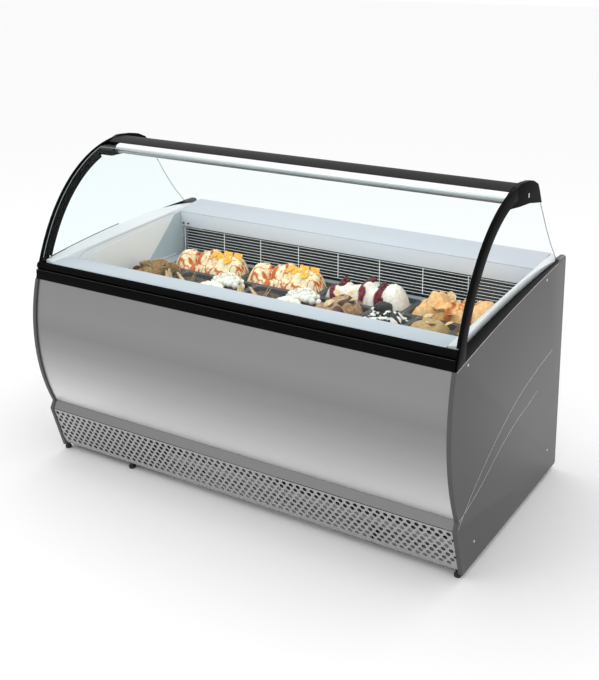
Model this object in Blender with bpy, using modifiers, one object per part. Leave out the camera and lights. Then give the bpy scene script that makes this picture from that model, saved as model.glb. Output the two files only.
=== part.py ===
"""Scooping display freezer with a curved front glass, as separate named parts.

X runs along the counter (+X is the customer's right when facing the front),
-Y is the customer's side, +Y the server's side and +Z is up. The parts are drawn with
their back face at REAR_Y, and the last step centres the footprint on the origin, which is
on the floor. All sizes are in metres.
"""

import math

import bmesh
import bpy
from mathutils import Matrix, Vector

# ---------------------------------------------------------------- driving sizes
HALF_W = 0.845                # half the overall width
PANEL_T = 0.015               # end panel thickness
GAP = 0.0005                  # clearance between parts that rest on each other
REAR_Y = 0.507                # back face of the end panels
FLOOR_CLEAR = 0.020           # underside of the end panels

BULGE_Y, BULGE_Z, BULGE_R = 0.2158, 0.5463, 0.7034    # circle of the bowed front
FRONT_TOP_Z = 0.727           # top of the bowed front
KICK_Z = 0.222                # bottom of the bowed front
KNEE = (-0.423, 0.195)        # where the plinth stands out again
TOE = (-0.363, FLOOR_CLEAR)   # foot of the end panels
PLINTH_ROLL = (               # outline of the plinth sheet below the knee
    (-0.388, 0.105), (-0.380, 0.078), (-0.370, 0.052), (-0.361, 0.034), (-0.350, 0.025), (-0.342, 0.0225),
)
TOP_SLOPE = 0.1147            # rise of the end panel's top edge towards the rear
TOP_CROWN = 0.011             # how far that edge arches up midway
HUMP_Y, HUMP_Z = 0.425, 0.843  # rear shoulder of the end panel

# Side outline of the glass canopy: one cubic curve from the counter to the top rail.
ARCH = ((-0.4600, 0.7270), (-0.3530, 1.1150), (-0.1010, 1.1950), (0.0400, 1.1955))
ARCH_BAND = 0.041             # width of the black band along the canopy edge
ARCH_DUCT = 0.023             # depth of the left arch, which carries the lamp cable
ARCH_RIM = 0.0137             # depth of both arches along their outer edge
GLASS_T = 0.006
SIDE_GLASS_X = 0.8325         # inner face of the side glass
TRIM_FRONT = (-0.393, 0.790)  # inner corner between the arch and the lower side trim
TRIM_REAR = (0.421, 0.842)    # thin rear end of the lower side trim
CAP_TIP_Z = 1.1335            # height of the cap's front tip, under the arch band
CAP_UNDER = ((0.003, 1.124), (0.095, 1.117), (0.212, 1.0955))
CAP_REAR = ((0.186, 1.145), (0.170, 1.168), (0.128, 1.186), (0.085, 1.194), (0.040, 1.1975))
CAP_FRONT_Y = -0.022          # seam between the arch and its cap
CAP_DEPTH = 0.016             # thickness of a cap's outer plate
SOCKET_LEFT, SOCKET_FRONT = 0.075, -0.107    # lamp socket inside the left cap

HINGE_Y, HINGE_Z, HINGE_R = -0.4455, 0.7765, 0.0135   # bullnose that carries the front glass
HINGE_BLOCK = 0.026           # length of the fixed bullnose block at each end
PIN_R = 0.004
RAIL_HALF = HALF_W - CAP_DEPTH - GAP

WELL_HALF = 0.795             # inner half width of the refrigerated well
WELL_FRONT, WELL_REAR, WELL_FLOOR = -0.320, 0.447, 0.420
TUB_HALF = HALF_W - PANEL_T - 0.001
TUB_FRONT, TUB_REAR, TUB_BOTTOM = -0.425, 0.4925, 0.305
SIDE_WALL_TOP = 0.700         # foam side walls end here, the side liners stand on them
LEDGE_Z = 0.787               # top of the white front ledge
LEDGE_NOSE_Y = -0.317         # inner edge of the front ledge
COUNTER_Z = 0.842             # rear counter
CREASE = (0.338, 0.820)       # fold between the counter top and its front face
FACE_FOOT = (0.352, 0.752)    # lower edge of the counter's front face

PAN_RIM_Z = 0.6352            # top of the pan rims
PAN_DEPTH = 0.120
PAN_L, PAN_W = 0.364, 0.170   # long and short side of a pan's rim
PAN_GAP = 0.003               # between neighbouring rims
PANS_REAR = 0.316             # back edge of the rear row
PANS_FRONT = PANS_REAR - PAN_W - PAN_GAP - PAN_L
REAR_PANS, FRONT_PANS = 4, 9
FRAME_Z = 0.6310              # underside of the pan frame
UPRIGHT_X, UPRIGHT_PITCH = -0.5770, 0.1845    # first inner upright of the air grille, and the next ones
FAN_X, FAN_Z = 0.360, 0.510   # axes of the two evaporator fans

CASTOR_X, CASTOR_FRONT_Y, CASTOR_REAR_Y = 0.515, -0.286, 0.400
WHEEL_R, WHEEL_W, CASTOR_TRAIL = 0.0252, 0.018, 0.022
BASE_Z, BASE_T = 0.076, 0.030

SWITCH_Y, SWITCH_Z, SWITCH_TIP = 0.5040, 0.7250, -4.0    # rocker axis and its rest tip in degrees

ARC_STEPS = 20
FOOTPRINT_Y = 0.0109          # middle of the footprint, where the origin ends up

# ---------------------------------------------------------------- colours
PAINT = {
    "panel_steel": ((0.27, 0.27, 0.27), 0.35, 0.9),
    "front_steel": ((0.45, 0.45, 0.45), 0.33, 0.9),
    "grille_steel": ((0.38, 0.38, 0.38), 0.40, 0.8),
    "black_gloss": ((0.012, 0.012, 0.012), 0.22, 0.0),
    "aluminium": ((0.80, 0.80, 0.80), 0.25, 1.0),
    "glass": ((0.86, 0.97, 0.97), 0.03, 0.0),
    "white_liner": ((0.82, 0.85, 0.90), 0.35, 0.0),
    "lamp_white": ((0.95, 0.97, 1.00), 0.40, 0.0),
    "foam_casing": ((0.70, 0.72, 0.75), 0.55, 0.0),
    "stainless": ((0.55, 0.60, 0.64), 0.25, 1.0),
    "wire_white": ((0.80, 0.82, 0.84), 0.35, 0.1),
    "fin_dark": ((0.08, 0.09, 0.10), 0.45, 0.6),
    "pan_grey": ((0.045, 0.047, 0.050), 0.40, 0.0),
    "plastic_black": ((0.025, 0.025, 0.027), 0.50, 0.0),
    "rubber": ((0.030, 0.030, 0.030), 0.80, 0.0),
    "zinc": ((0.60, 0.61, 0.62), 0.35, 0.9),
    "compressor_black": ((0.020, 0.020, 0.022), 0.35, 0.2),
}


def clear_scene():
    for old in list(bpy.data.objects):
        bpy.data.objects.remove(old)


def collection(name):
    found = bpy.data.collections.new(name)
    bpy.context.scene.collection.children.link(found)
    return found


clear_scene()
PARTS = collection("display_freezer")
CUTTERS = collection("cutters")
CUTTERS.hide_render = True


# ---------------------------------------------------------------- small tools
def paint(name):
    """One Principled material for each entry of PAINT, made the first time it is asked for."""
    material = bpy.data.materials.get(name)
    if material:
        return material
    colour, roughness, metallic = PAINT[name]
    material = bpy.data.materials.new(name)
    material.use_nodes = True
    shader = material.node_tree.nodes["Principled BSDF"]
    shader.inputs["Base Color"].default_value = (*colour, 1.0)
    shader.inputs["Roughness"].default_value = roughness
    shader.inputs["Metallic"].default_value = metallic
    return material


def place(name, data, finish, where=None):
    """A new object in the part collection, or in another one that is given."""
    made = bpy.data.objects.new(name, data)
    (where or PARTS).objects.link(made)
    if finish and not data.materials:
        data.materials.append(paint(finish))
    return made


def from_bmesh(name, bm, finish, where=None):
    bmesh.ops.recalc_face_normals(bm, faces=bm.faces)
    mesh = bpy.data.meshes.new(name)
    bm.to_mesh(mesh)
    bm.free()
    mesh.shade_smooth()
    mesh.set_sharp_from_angle(angle=math.radians(30))
    return place(name, mesh, finish, where)


def box(name, low, high, finish, where=None):
    bm = bmesh.new()
    middle = (Vector(low) + Vector(high)) / 2
    size = Vector(high) - Vector(low)
    bmesh.ops.create_cube(bm, size=1.0, matrix=Matrix.Translation(middle) @ Matrix.Diagonal((*size, 1)))
    return from_bmesh(name, bm, finish, where)


def rod(name, start, end, radius, finish, segments=20, where=None):
    """A cylinder between two points."""
    start, end = Vector(start), Vector(end)
    turn = (end - start).to_track_quat("Z", "Y").to_matrix().to_4x4()
    bm = bmesh.new()
    bmesh.ops.create_cone(
        bm, cap_ends=True, segments=segments, radius1=radius, radius2=radius,
        depth=(end - start).length, matrix=Matrix.Translation((start + end) / 2) @ turn,
    )
    return from_bmesh(name, bm, finish, where)


def plate(name, loops, thickness, finish, where=None):
    """A flat plate: the first loop is its outline and the others are holes in it."""
    curve = bpy.data.curves.new(name, "CURVE")
    curve.dimensions = "2D"
    curve.fill_mode = "BOTH"
    curve.extrude = thickness / 2
    for loop in loops:
        spline = curve.splines.new("POLY")
        spline.points.add(len(loop) - 1)
        for point, (a, b) in zip(spline.points, loop):
            point.co = (a, b, 0, 1)
        spline.use_cyclic_u = True
    return place(name, curve, finish, where)


def side_plate(name, loops, x_from, x_to, finish, where=None):
    """A plate whose loops are (y, z) points and which fills the space between two X positions."""
    made = plate(name, loops, abs(x_to - x_from), finish, where)
    made.matrix_world = Matrix(((0, 0, 1, (x_from + x_to) / 2), (1, 0, 0, 0), (0, 1, 0, 0), (0, 0, 0, 1)))
    return made


def front_plate(name, loops, y_from, y_to, finish, where=None):
    """A plate whose loops are (x, z) points and which fills the space between two Y positions."""
    made = plate(name, loops, abs(y_to - y_from), finish, where)
    made.matrix_world = Matrix(((1, 0, 0, 0), (0, 0, -1, (y_from + y_to) / 2), (0, 1, 0, 0), (0, 0, 0, 1)))
    return made


def top_plate(name, loops, z_from, z_to, finish, where=None):
    """A plate whose loops are (x, y) points and which fills the space between two heights."""
    made = plate(name, loops, abs(z_to - z_from), finish, where)
    made.matrix_world = Matrix.Translation((0, 0, (z_from + z_to) / 2))
    return made


def as_mesh(made):
    """Turns a curve object into a mesh object with welded caps, ready for a Boolean."""
    bpy.context.view_layer.update()
    graph = bpy.context.evaluated_depsgraph_get()
    mesh = bpy.data.meshes.new_from_object(made.evaluated_get(graph))
    bm = bmesh.new()
    bm.from_mesh(mesh)
    bmesh.ops.remove_doubles(bm, verts=bm.verts, dist=1e-6)
    bmesh.ops.recalc_face_normals(bm, faces=bm.faces)
    bm.to_mesh(mesh)
    bm.free()
    name, matrix, home = made.name, made.matrix_world.copy(), made.users_collection[0]
    finish = made.data.materials[0].name if made.data.materials else None
    bpy.data.objects.remove(made)
    solid = place(name, mesh, finish, home)
    solid.matrix_world = matrix
    return solid


def boolean(target, tool, operation):
    """Adds an EXACT Boolean to the target and hides the tool from the part."""
    modifier = target.modifiers.new(operation.lower() + "_" + tool.name, "BOOLEAN")
    modifier.operation = operation
    modifier.solver = "EXACT"
    modifier.object = tool
    if tool.name not in CUTTERS.objects:
        for home in list(tool.users_collection):
            home.objects.unlink(tool)
        CUTTERS.objects.link(tool)
    tool.hide_render = True
    tool.display_type = "WIRE"


def rectangle(a_low, a_high, b_low, b_high):
    return [(a_low, b_low), (a_high, b_low), (a_high, b_high), (a_low, b_high)]


def circle(a, b, radius, segments=20):
    turn = 2 * math.pi / segments
    return [(a + radius * math.cos(i * turn), b + radius * math.sin(i * turn)) for i in range(segments)]


def slot(a_low, a_high, b, radius, segments=4):
    """A long hole with round ends, along the first axis."""
    points = []
    for centre, start in ((a_high - radius, -math.pi / 2), (a_low + radius, math.pi / 2)):
        for i in range(segments + 1):
            angle = start + math.pi * i / segments
            points.append((centre + radius * math.cos(angle), b + radius * math.sin(angle)))
    return points


def strip(path, thickness):
    """The outline of a bent sheet: the path, then the path moved sideways by its thickness."""
    moved = []
    for i, point in enumerate(path):
        here = Vector(point)
        before = (here - Vector(path[i - 1])).normalized() if i else None
        after = (Vector(path[i + 1]) - here).normalized() if i < len(path) - 1 else None
        before, after = before or after, after or before
        middle = (before + after).normalized()
        normal = Vector((-middle.y, middle.x))
        stretch = thickness / max(0.3, middle.dot(before))
        moved.append(tuple(here + normal * stretch))
    return list(path) + moved[::-1]


# ---------------------------------------------------------------- shared outlines
def bulge_y(z, inset=0.0):
    """Y of the bowed front at a height, moved inwards by the inset."""
    radius = BULGE_R - inset
    return BULGE_Y - math.sqrt(radius ** 2 - (z - BULGE_Z) ** 2)


def bulge(z_low, z_high, inset, steps=14):
    heights = [z_low + (z_high - z_low) * i / steps for i in range(steps + 1)]
    return [(bulge_y(z, inset), z) for z in heights]


def arch_point(t, inset=0.0):
    """A point of the canopy outline, moved inwards at right angles by the inset."""
    a, b, c, d = (Vector(p) for p in ARCH)
    s = 1 - t
    point = a * s ** 3 + b * 3 * s * s * t + c * 3 * s * t * t + d * t ** 3
    along = ((b - a) * s * s + (c - b) * 2 * s * t + (d - c) * t * t).normalized()
    return point + Vector((along.y, -along.x)) * inset


def arch_t(value, axis, inset=0.0):
    """The curve parameter where the canopy outline reaches a Y (axis 0) or a height (axis 1)."""
    low, high = 0.0, 1.0
    for _ in range(40):
        middle = (low + high) / 2
        if arch_point(middle, inset)[axis] < value:
            low = middle
        else:
            high = middle
    return (low + high) / 2


def arch_run(t_from, t_to, inset, steps=ARC_STEPS):
    return [tuple(arch_point(t_from + (t_to - t_from) * i / steps, inset)) for i in range(steps + 1)]


def panel_top(y):
    """Height of the end panel's top edge: it rises to the rear and arches up a little midway."""
    start = bulge_y(FRONT_TOP_Z)
    share = (y - start) / (HUMP_Y - start)
    return FRONT_TOP_Z + TOP_SLOPE * (y - start) + 4 * TOP_CROWN * share * (1 - share)


def trim_top(y):
    share = (y - TRIM_FRONT[0]) / (TRIM_REAR[0] - TRIM_FRONT[0])
    return TRIM_FRONT[1] + (TRIM_REAR[1] - TRIM_FRONT[1]) * share + 4 * TOP_CROWN * share * (1 - share)


def top_run(height, y_from, y_to, lift, steps=10):
    """Points along one of the two arched edges, lifted by a clearance."""
    spots = [y_from + (y_to - y_from) * i / steps for i in range(steps + 1)]
    return [(y, height(y) + lift) for y in spots]


def liner_outer(y):
    """Height of the side liner's top along the glass: a shallow arc that dips towards the counter."""
    arc = 0.8375 + 0.068 * y - 0.098 * y * y
    return arc - 0.055 * max(0.0, y - 0.12) ** 2 / 0.30


def liner_inner(y):
    """Height of the side liner's top along the well."""
    return 0.812 + 0.060 * y


# ---------------------------------------------------------------- cabinet shell
def end_panel(name, side):
    outline = bulge(KICK_Z, FRONT_TOP_Z, 0)[::-1] + [KNEE, TOE, (REAR_Y - 0.008, FLOOR_CLEAR)]
    outline += [(REAR_Y, FLOOR_CLEAR + 0.008), (REAR_Y, HUMP_Z - 0.020)]
    for i in range(1, 5):
        angle = math.radians(90 * i / 4)
        outline.append((REAR_Y - 0.020 + 0.020 * math.cos(angle), HUMP_Z - 0.020 + 0.020 * math.sin(angle)))
    outline += [(HUMP_Y, HUMP_Z)] + top_run(panel_top, HUMP_Y, bulge_y(FRONT_TOP_Z), 0)[:-1]
    side_plate(name, [outline], side * (HALF_W - PANEL_T), side * HALF_W, "panel_steel")


def front_panel():
    face = bulge(KICK_Z + 0.006, FRONT_TOP_Z - 0.001, 0.006)
    back = bulge(KICK_Z + 0.006, FRONT_TOP_Z - 0.001, 0.008)
    half = HALF_W - PANEL_T - GAP
    side_plate("front_panel", [face + back[::-1]], -half, half, "front_steel")


def plinth_band():
    top = (bulge_y(KICK_Z) + 0.006, KICK_Z + 0.004)
    knee = (KNEE[0] + 0.004, KNEE[1] + 0.001)
    half = HALF_W - PANEL_T - GAP
    path = [knee, top, (top[0] + 0.020, top[1])]
    side_plate("plinth_band", [strip(path, -0.0015)], -half, half, "grille_steel")


def plinth_grille():
    """Plinth sheet: straight from the knee down, then rolled under along its foot."""
    knee = (KNEE[0] + 0.004, KNEE[1] - 0.0005)
    half = HALF_W - PANEL_T - GAP
    path = [(knee[0] + 0.014, knee[1]), knee] + list(PLINTH_ROLL)
    side_plate("plinth_grille", [strip(path, 0.0015)], -half, half, "grille_steel")


def rear_panel():
    """Service panel with a field of cooling slots at the lower right."""
    half = TUB_HALF
    loops = [rectangle(-half, half, 0.030, 0.795)]
    for column in range(3):
        left = 0.05 + column * 0.24
        for row in range(6):
            low = 0.080 + row * 0.028
            loops.append(rectangle(left, left + 0.20, low, low + 0.009))
    front_plate("rear_panel", loops, 0.4985, 0.5005, "front_steel")


def bumper_strip():
    """Black lower band across the front, under the glass bullnose."""
    low, high = FRONT_TOP_Z + GAP, HINGE_Z - HINGE_R - 0.001
    front = bulge_y(FRONT_TOP_Z) + 0.001
    outline = [(front, low), (front, high), (front + 0.004, high + 0.0006), (front + 0.030, high)]
    outline.append((front + 0.030, panel_top(front + 0.030) + 0.002))
    outline.append((front + 0.015, panel_top(front + 0.015) + 0.001))
    half = HALF_W - GLASS_T - GAP
    side_plate("bumper_strip", [outline], -half, half, "black_gloss")


# ---------------------------------------------------------------- glass canopy
def arch_outline():
    t_top = arch_t(CAP_FRONT_Y - GAP, 0)
    outer = arch_run(arch_t(panel_top(ARCH[0][0]) + GAP, 1), t_top, 0)
    inner = arch_run(t_top, arch_t(TRIM_FRONT[1] + 0.020, 1, ARCH_BAND), ARCH_BAND)
    foot_y = TRIM_FRONT[0] - 0.006
    return outer + inner + [TRIM_FRONT, (foot_y, panel_top(foot_y) + GAP)]


def arch_rim(band, side, y_end):
    """The arch is thicker along its outer edge, in front of the side pane."""
    low, high = arch_t(HINGE_Z + HINGE_R + 0.003, 1), arch_t(y_end, 0)
    rim = arch_run(low, high, 0.0004) + arch_run(high, low, 0.0150)
    inner, outer = side * (HALF_W - ARCH_RIM), side * (HALF_W - 0.001)
    blank = side_plate(f"arch_rim_{side}", [rim], inner, outer, None, CUTTERS)
    boolean(band, as_mesh(blank), "UNION")


def arch_right():
    band = as_mesh(side_plate("arch_right", [arch_outline()], HALF_W - GLASS_T, HALF_W, "black_gloss"))
    arch_rim(band, 1, CAP_FRONT_Y - 0.004)


def arch_left():
    """The left arch is deeper: a duct on its inner side carries the lamp cable past the side glass."""
    band = as_mesh(side_plate("arch_left", [arch_outline()], -HALF_W, GLASS_T - HALF_W, "black_gloss"))
    t_low = arch_t(HINGE_Z + HINGE_R + 0.024, 1)
    t_high = arch_t(SOCKET_FRONT - 0.012, 0)
    duct = arch_run(t_low, t_high, 0.009) + arch_run(t_high, t_low, ARCH_BAND - 0.002)
    inner = -(HALF_W - ARCH_DUCT)
    duct_body = as_mesh(side_plate("arch_duct", [duct], -(SIDE_GLASS_X - GAP), inner, None, CUTTERS))
    web = arch_run(t_low, t_high, 0.009) + arch_run(t_high, t_low, 0.014)
    web_body = as_mesh(side_plate("arch_web", [web], -HALF_W + 0.003, inner - 0.004, None, CUTTERS))
    boolean(band, web_body, "UNION")
    boolean(band, duct_body, "UNION")
    arch_rim(band, -1, SOCKET_FRONT - 0.006)


def side_trim(name, side):
    front_y = TRIM_FRONT[0] - 0.006 + GAP
    lower = top_run(panel_top, front_y, TRIM_REAR[0], GAP)
    outline = lower + top_run(trim_top, TRIM_REAR[0], TRIM_FRONT[0] + GAP, -GAP)
    side_plate(name, [outline], side * (HALF_W - GLASS_T), side * HALF_W, "black_gloss")


def side_glass(name, side):
    """Side pane: it follows the arch, stops under the cap and stands on the end panel."""
    under_cap = [(y, z - GAP) for y, z in CAP_UNDER]
    front = arch_run(arch_t(0.792, 1, 0.016), arch_t(1.128, 1, 0.016), 0.016, 14)
    rear = [(0.224, 1.0900), (0.256, 1.0460), (0.2946, 0.9900), (0.3507, 0.9190), (0.3960, 0.8700)]
    rear.append((0.4180, TRIM_REAR[1] + 0.006))
    foot = top_run(panel_top, 0.4180, -0.380, 0.004)
    outline = front + under_cap[:2] + rear + foot
    side_plate(name, [outline], side * SIDE_GLASS_X, side * (SIDE_GLASS_X + GLASS_T - 0.0004), "glass")


def cap(name, side):
    """Moulded end cap that joins the arch to the top rail; the left one holds the lamp's socket."""
    seam = arch_t(CAP_FRONT_Y, 0)
    band_end = arch_t(CAP_TIP_Z, 1, ARCH_BAND + GAP)
    inner = arch_run(seam, band_end, ARCH_BAND + GAP, 8)
    outline = list(CAP_UNDER) + list(CAP_REAR) + [(0.006, 1.199), tuple(arch_point(seam, 0))] + inner
    plate_x = side * (HALF_W - CAP_DEPTH)
    plate_body = as_mesh(side_plate(name, [outline], plate_x, side * HALF_W, "black_gloss"))
    if side > 0:
        return
    low, high = arch_t(SOCKET_FRONT, 0, 0.0085), arch_t(-0.080, 0, 0.0085)
    socket = arch_run(low, high, 0.0085, 4) + [(0.0510, 1.1690), (0.0510, 1.1420), (-0.030, 1.1375)]
    socket.append((SOCKET_FRONT + 0.004, 1.1375))
    inner_x = side * (HALF_W - SOCKET_LEFT)
    blank = side_plate(name + "_socket", [socket], plate_x + side * 0.006, inner_x, None, CUTTERS)
    socket_body = as_mesh(blank)
    boolean(plate_body, socket_body, "UNION")


def top_rail():
    """Black cover of the top rail."""
    top = [(-0.0530, 1.1820), (-0.036, 1.1875), (-0.014, 1.1920), (0.012, 1.1937), (0.042, 1.1915)]
    rear = [(0.070, 1.1835), (0.090, 1.1710), (0.098, 1.1560), (0.098, 1.1460)]
    under = [(0.052, 1.1460), (0.052, 1.1700), (-0.0530, 1.1700)]
    side_plate("top_rail", [top + rear + under], -RAIL_HALF, RAIL_HALF, "black_gloss")


def lamp_housing():
    """Aluminium extrusion under the cover: a rounded front edge and a groove for the lamp lens."""
    front = [(-0.0535, 1.1694), (-0.0535, 1.1812), (-0.0610, 1.1808), (-0.0710, 1.1778), (-0.0780, 1.1730)]
    front += [(-0.0820, 1.1665), (-0.0828, 1.1590), (-0.0800, 1.1510)]
    under = [(-0.0750, 1.1465), (-0.0640, 1.1440), (-0.030, 1.1430), (-0.030, 1.1540), (0.030, 1.1540)]
    back = [(0.030, 1.1440), (0.0515, 1.1440), (0.0515, 1.1694)]
    left, right = SOCKET_LEFT - HALF_W + GAP, RAIL_HALF
    side_plate("lamp_housing", [front + under + back], left, right, "aluminium")


def lamp_lens():
    outline = [(-0.0295, 1.1535), (-0.0295, 1.1450), (-0.015, 1.1425), (0.015, 1.1425), (0.0295, 1.1450)]
    left, right = 0.02 + SOCKET_LEFT - HALF_W, RAIL_HALF - 0.03
    side_plate("lamp_lens", [outline + [(0.0295, 1.1535)]], left, right, "lamp_white")


def front_glass():
    """Curved pane in front of the side panes, from its bullnose holder to the top rail."""
    low, high = arch_t(HINGE_Z + 0.006, 1, 0.004), arch_t(-0.088, 0, 0.001)
    outer = arch_run(low, high, 0.001)
    inner = arch_run(high, low, 0.001 + GLASS_T)
    half = SIDE_GLASS_X - 0.0015
    blank = side_plate("front_glass", [outer + inner], -half, half, "glass")
    pane = as_mesh(blank)
    for side in (-1, 1):
        corner = box(
            f"glass_corner_{side}", (side * half - 0.030, HINGE_Y - 0.05, HINGE_Z - 0.02),
            (side * half + 0.030, HINGE_Y + 0.05, HINGE_Z + HINGE_R + 0.002), None, CUTTERS,
        )
        boolean(pane, corner, "DIFFERENCE")


def glass_holder():
    """Round bullnose that clamps the pane's lower edge and turns on the hinge pins."""
    half = SIDE_GLASS_X - 0.0015 - 0.031
    left, right = (-half, HINGE_Y, HINGE_Z), (half, HINGE_Y, HINGE_Z)
    bar = rod("glass_holder", left, right, HINGE_R, "black_gloss", 32)
    low, high = arch_t(HINGE_Z + 0.0055, 1, 0.004), arch_t(HINGE_Z + 0.030, 1, 0.004)
    groove = arch_run(low, high, 0.0006, 4) + arch_run(high, low, 0.0014 + GLASS_T, 4)
    cutter = as_mesh(side_plate("holder_groove", [groove], -half - 0.01, half + 0.01, None, CUTTERS))
    boolean(bar, cutter, "DIFFERENCE")
    for side in (-1, 1):
        bore = rod(
            f"holder_bore_{side}",
            (side * (half - 0.020), HINGE_Y, HINGE_Z),
            (side * (half + 0.01), HINGE_Y, HINGE_Z),
            PIN_R + 0.0003, None, 16, CUTTERS,
        )
        boolean(bar, bore, "DIFFERENCE")


def hinge_block(name, side):
    """Fixed end of the bullnose, with the pin that the glass holder turns on."""
    inner = SIDE_GLASS_X - 0.0015 - 0.030
    outer = HALF_W - GLASS_T - GAP
    start, end = (side * inner, HINGE_Y, HINGE_Z), (side * outer, HINGE_Y, HINGE_Z)
    block = rod(name, start, end, HINGE_R, "black_gloss", 32)
    pin = rod(
        name + "_pin", (side * (inner - 0.018), HINGE_Y, HINGE_Z), (side * (inner + 0.01), HINGE_Y, HINGE_Z),
        PIN_R, None, 16, CUTTERS,
    )
    boolean(block, pin, "UNION")


# ---------------------------------------------------------------- refrigerated well
def insulated_tub():
    """Foamed tub: low side walls, a thick front wall and a taller rear wall."""
    tub = box(
        "insulated_tub",
        (-TUB_HALF, TUB_FRONT, TUB_BOTTOM),
        (TUB_HALF, TUB_REAR, SIDE_WALL_TOP),
        "foam_casing",
    )
    front = box(
        "tub_front_wall",
        (-TUB_HALF, TUB_FRONT, SIDE_WALL_TOP - 0.02),
        (TUB_HALF, WELL_FRONT - 0.004, 0.7725),
        None, CUTTERS,
    )
    rear = box(
        "tub_rear_wall",
        (-TUB_HALF, WELL_REAR, SIDE_WALL_TOP - 0.02),
        (TUB_HALF, TUB_REAR, 0.8120),
        None,
        CUTTERS,
    )
    well = box(
        "tub_well", (-WELL_HALF, WELL_FRONT, WELL_FLOOR), (WELL_HALF, WELL_REAR, 1.0), None, CUTTERS,
    )
    boolean(tub, front, "UNION")
    boolean(tub, rear, "UNION")
    boolean(tub, well, "DIFFERENCE")


def side_liner(name, side):
    """White side moulding between the well and the side glass; its top slopes into the well."""
    front_y, rear_y = TUB_FRONT + 0.006, TUB_REAR
    ys = [front_y + (rear_y - front_y) * i / 12 for i in range(13)]
    wall_front = WELL_FRONT - 0.0035
    lower = [
        (rear_y, 0.8125), (WELL_REAR - GAP, 0.8125), (WELL_REAR - GAP, SIDE_WALL_TOP + GAP),
        (wall_front, SIDE_WALL_TOP + GAP), (wall_front, 0.7730), (front_y, 0.7730),
    ]
    top = [(y, liner_outer(y)) for y in ys]
    inner_x, outer_x = side * (WELL_HALF + GAP), side * (TUB_HALF - 0.001)
    liner = as_mesh(side_plate(name, [top + lower], inner_x, outer_x, "white_liner"))
    for vertex in liner.data.vertices:
        y, z = vertex.co.x, vertex.co.y
        at_well = abs((liner.matrix_world @ vertex.co).x - inner_x) < 1e-4
        if at_well and abs(z - liner_outer(y)) < 1e-5:
            vertex.co.y = liner_inner(y)


def front_ledge():
    """White sheet over the front wall, with a rounded nose that turns down into the well."""
    nose = []
    for angle in (0, 30, 60, 90):
        turn = math.radians(angle)
        y = LEDGE_NOSE_Y - 0.008 + 0.010 * math.sin(turn)
        nose.append((y, LEDGE_Z - 0.014 + 0.010 * math.cos(turn)))
    path = [(HINGE_Y + HINGE_R + 0.003, LEDGE_Z - 0.010), (HINGE_Y + HINGE_R + 0.008, LEDGE_Z - 0.002)]
    path += [(-0.400, LEDGE_Z), (-0.360, LEDGE_Z - 0.001)] + nose + [(nose[-1][0] + 0.004, 0.645)]
    half = WELL_HALF - GAP
    side_plate("front_ledge", [strip(path, -0.0025)], -half, half, "white_liner")


def front_air_duct():
    """White return-air cover in front of the pans, with one row of long slots."""
    low_y, high_y = WELL_FRONT + 0.009, PANS_FRONT - 0.002
    loops = [rectangle(GAP - WELL_HALF, WELL_HALF - GAP, low_y, high_y)]
    middle = (low_y + high_y) / 2
    for i in range(7):
        left = -0.775 + i * 0.223
        loops.append(slot(left, left + 0.210, middle, 0.008))
    top_plate("front_air_duct", loops, 0.6400, 0.6420, "white_liner")


def rear_counter():
    """White server-side counter: top, folded front face and a lip over the rear panel."""
    path = [(0.4965, 0.800), (0.4965, COUNTER_Z - 0.006), (0.4900, COUNTER_Z), (0.455, COUNTER_Z)]
    path += [CREASE, FACE_FOOT, (FACE_FOOT[0] + 0.012, FACE_FOOT[1] - 0.001)]
    half = WELL_HALF - GAP
    side_plate("rear_counter", [strip(path, 0.0015)], -half, half, "white_liner")


def air_grille():
    """Cold-air outlet across the rear of the well: rows of bars with eight inner uprights."""
    left, right, low, high, rows, bar = -0.788, 0.788, 0.6420, 0.7475, 9, 0.0030
    loops = [rectangle(left, right, low, high)]
    uprights = [left] + [UPRIGHT_X + UPRIGHT_PITCH * k for k in range(8)] + [right - bar]
    height = (high - low - bar) / rows
    for start, end in zip(uprights, uprights[1:]):
        for row in range(rows):
            b = low + bar + row * height
            loops.append(rectangle(start + bar, end, b, b + height - bar))
    front_plate("air_grille", loops, 0.3560, 0.3590, "wire_white")


def pan_frame():
    """Stainless frame the pans hang in; its rear strip is the ledge under the air grille."""
    half = WELL_HALF - 0.002
    loops = [rectangle(-half, half, PANS_FRONT - 0.001, 0.3545)]
    for _, x, y, width, depth in pan_places():
        reach_x, reach_y = width / 2 - 0.006, depth / 2 - 0.006
        loops.append(rectangle(x - reach_x, x + reach_x, y - reach_y, y + reach_y))
    top_plate("pan_frame", loops, FRAME_Z, FRAME_Z + 0.002, "stainless")


# ---------------------------------------------------------------- pans
def pan_places():
    """Name, centre and rim size of every pan: the rear row lies along the counter, the front across."""
    places = []
    for column in range(REAR_PANS):
        x = (column - (REAR_PANS - 1) / 2) * (PAN_L + PAN_GAP)
        places.append((f"pan_rear_{column + 1}", x, PANS_REAR - PAN_W / 2, PAN_L, PAN_W))
    for column in range(FRONT_PANS):
        x = (column - (FRONT_PANS - 1) / 2) * (PAN_W + PAN_GAP)
        places.append((f"pan_front_{column + 1}", x, PANS_FRONT + PAN_L / 2, PAN_W, PAN_L))
    return places


def rounded_ring(bm, width, depth, z, radius, segments=3):
    """A ring of vertices round a rounded rectangle centred on the origin."""
    ring = []
    corners = ((1, 1, 0), (-1, 1, 90), (-1, -1, 180), (1, -1, 270))
    for sign_x, sign_y, start in corners:
        for i in range(segments + 1):
            angle = math.radians(start + 90 * i / segments)
            x = sign_x * (width / 2 - radius) + radius * math.cos(angle)
            y = sign_y * (depth / 2 - radius) + radius * math.sin(angle)
            ring.append(bm.verts.new((x, y, z)))
    return ring


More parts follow.
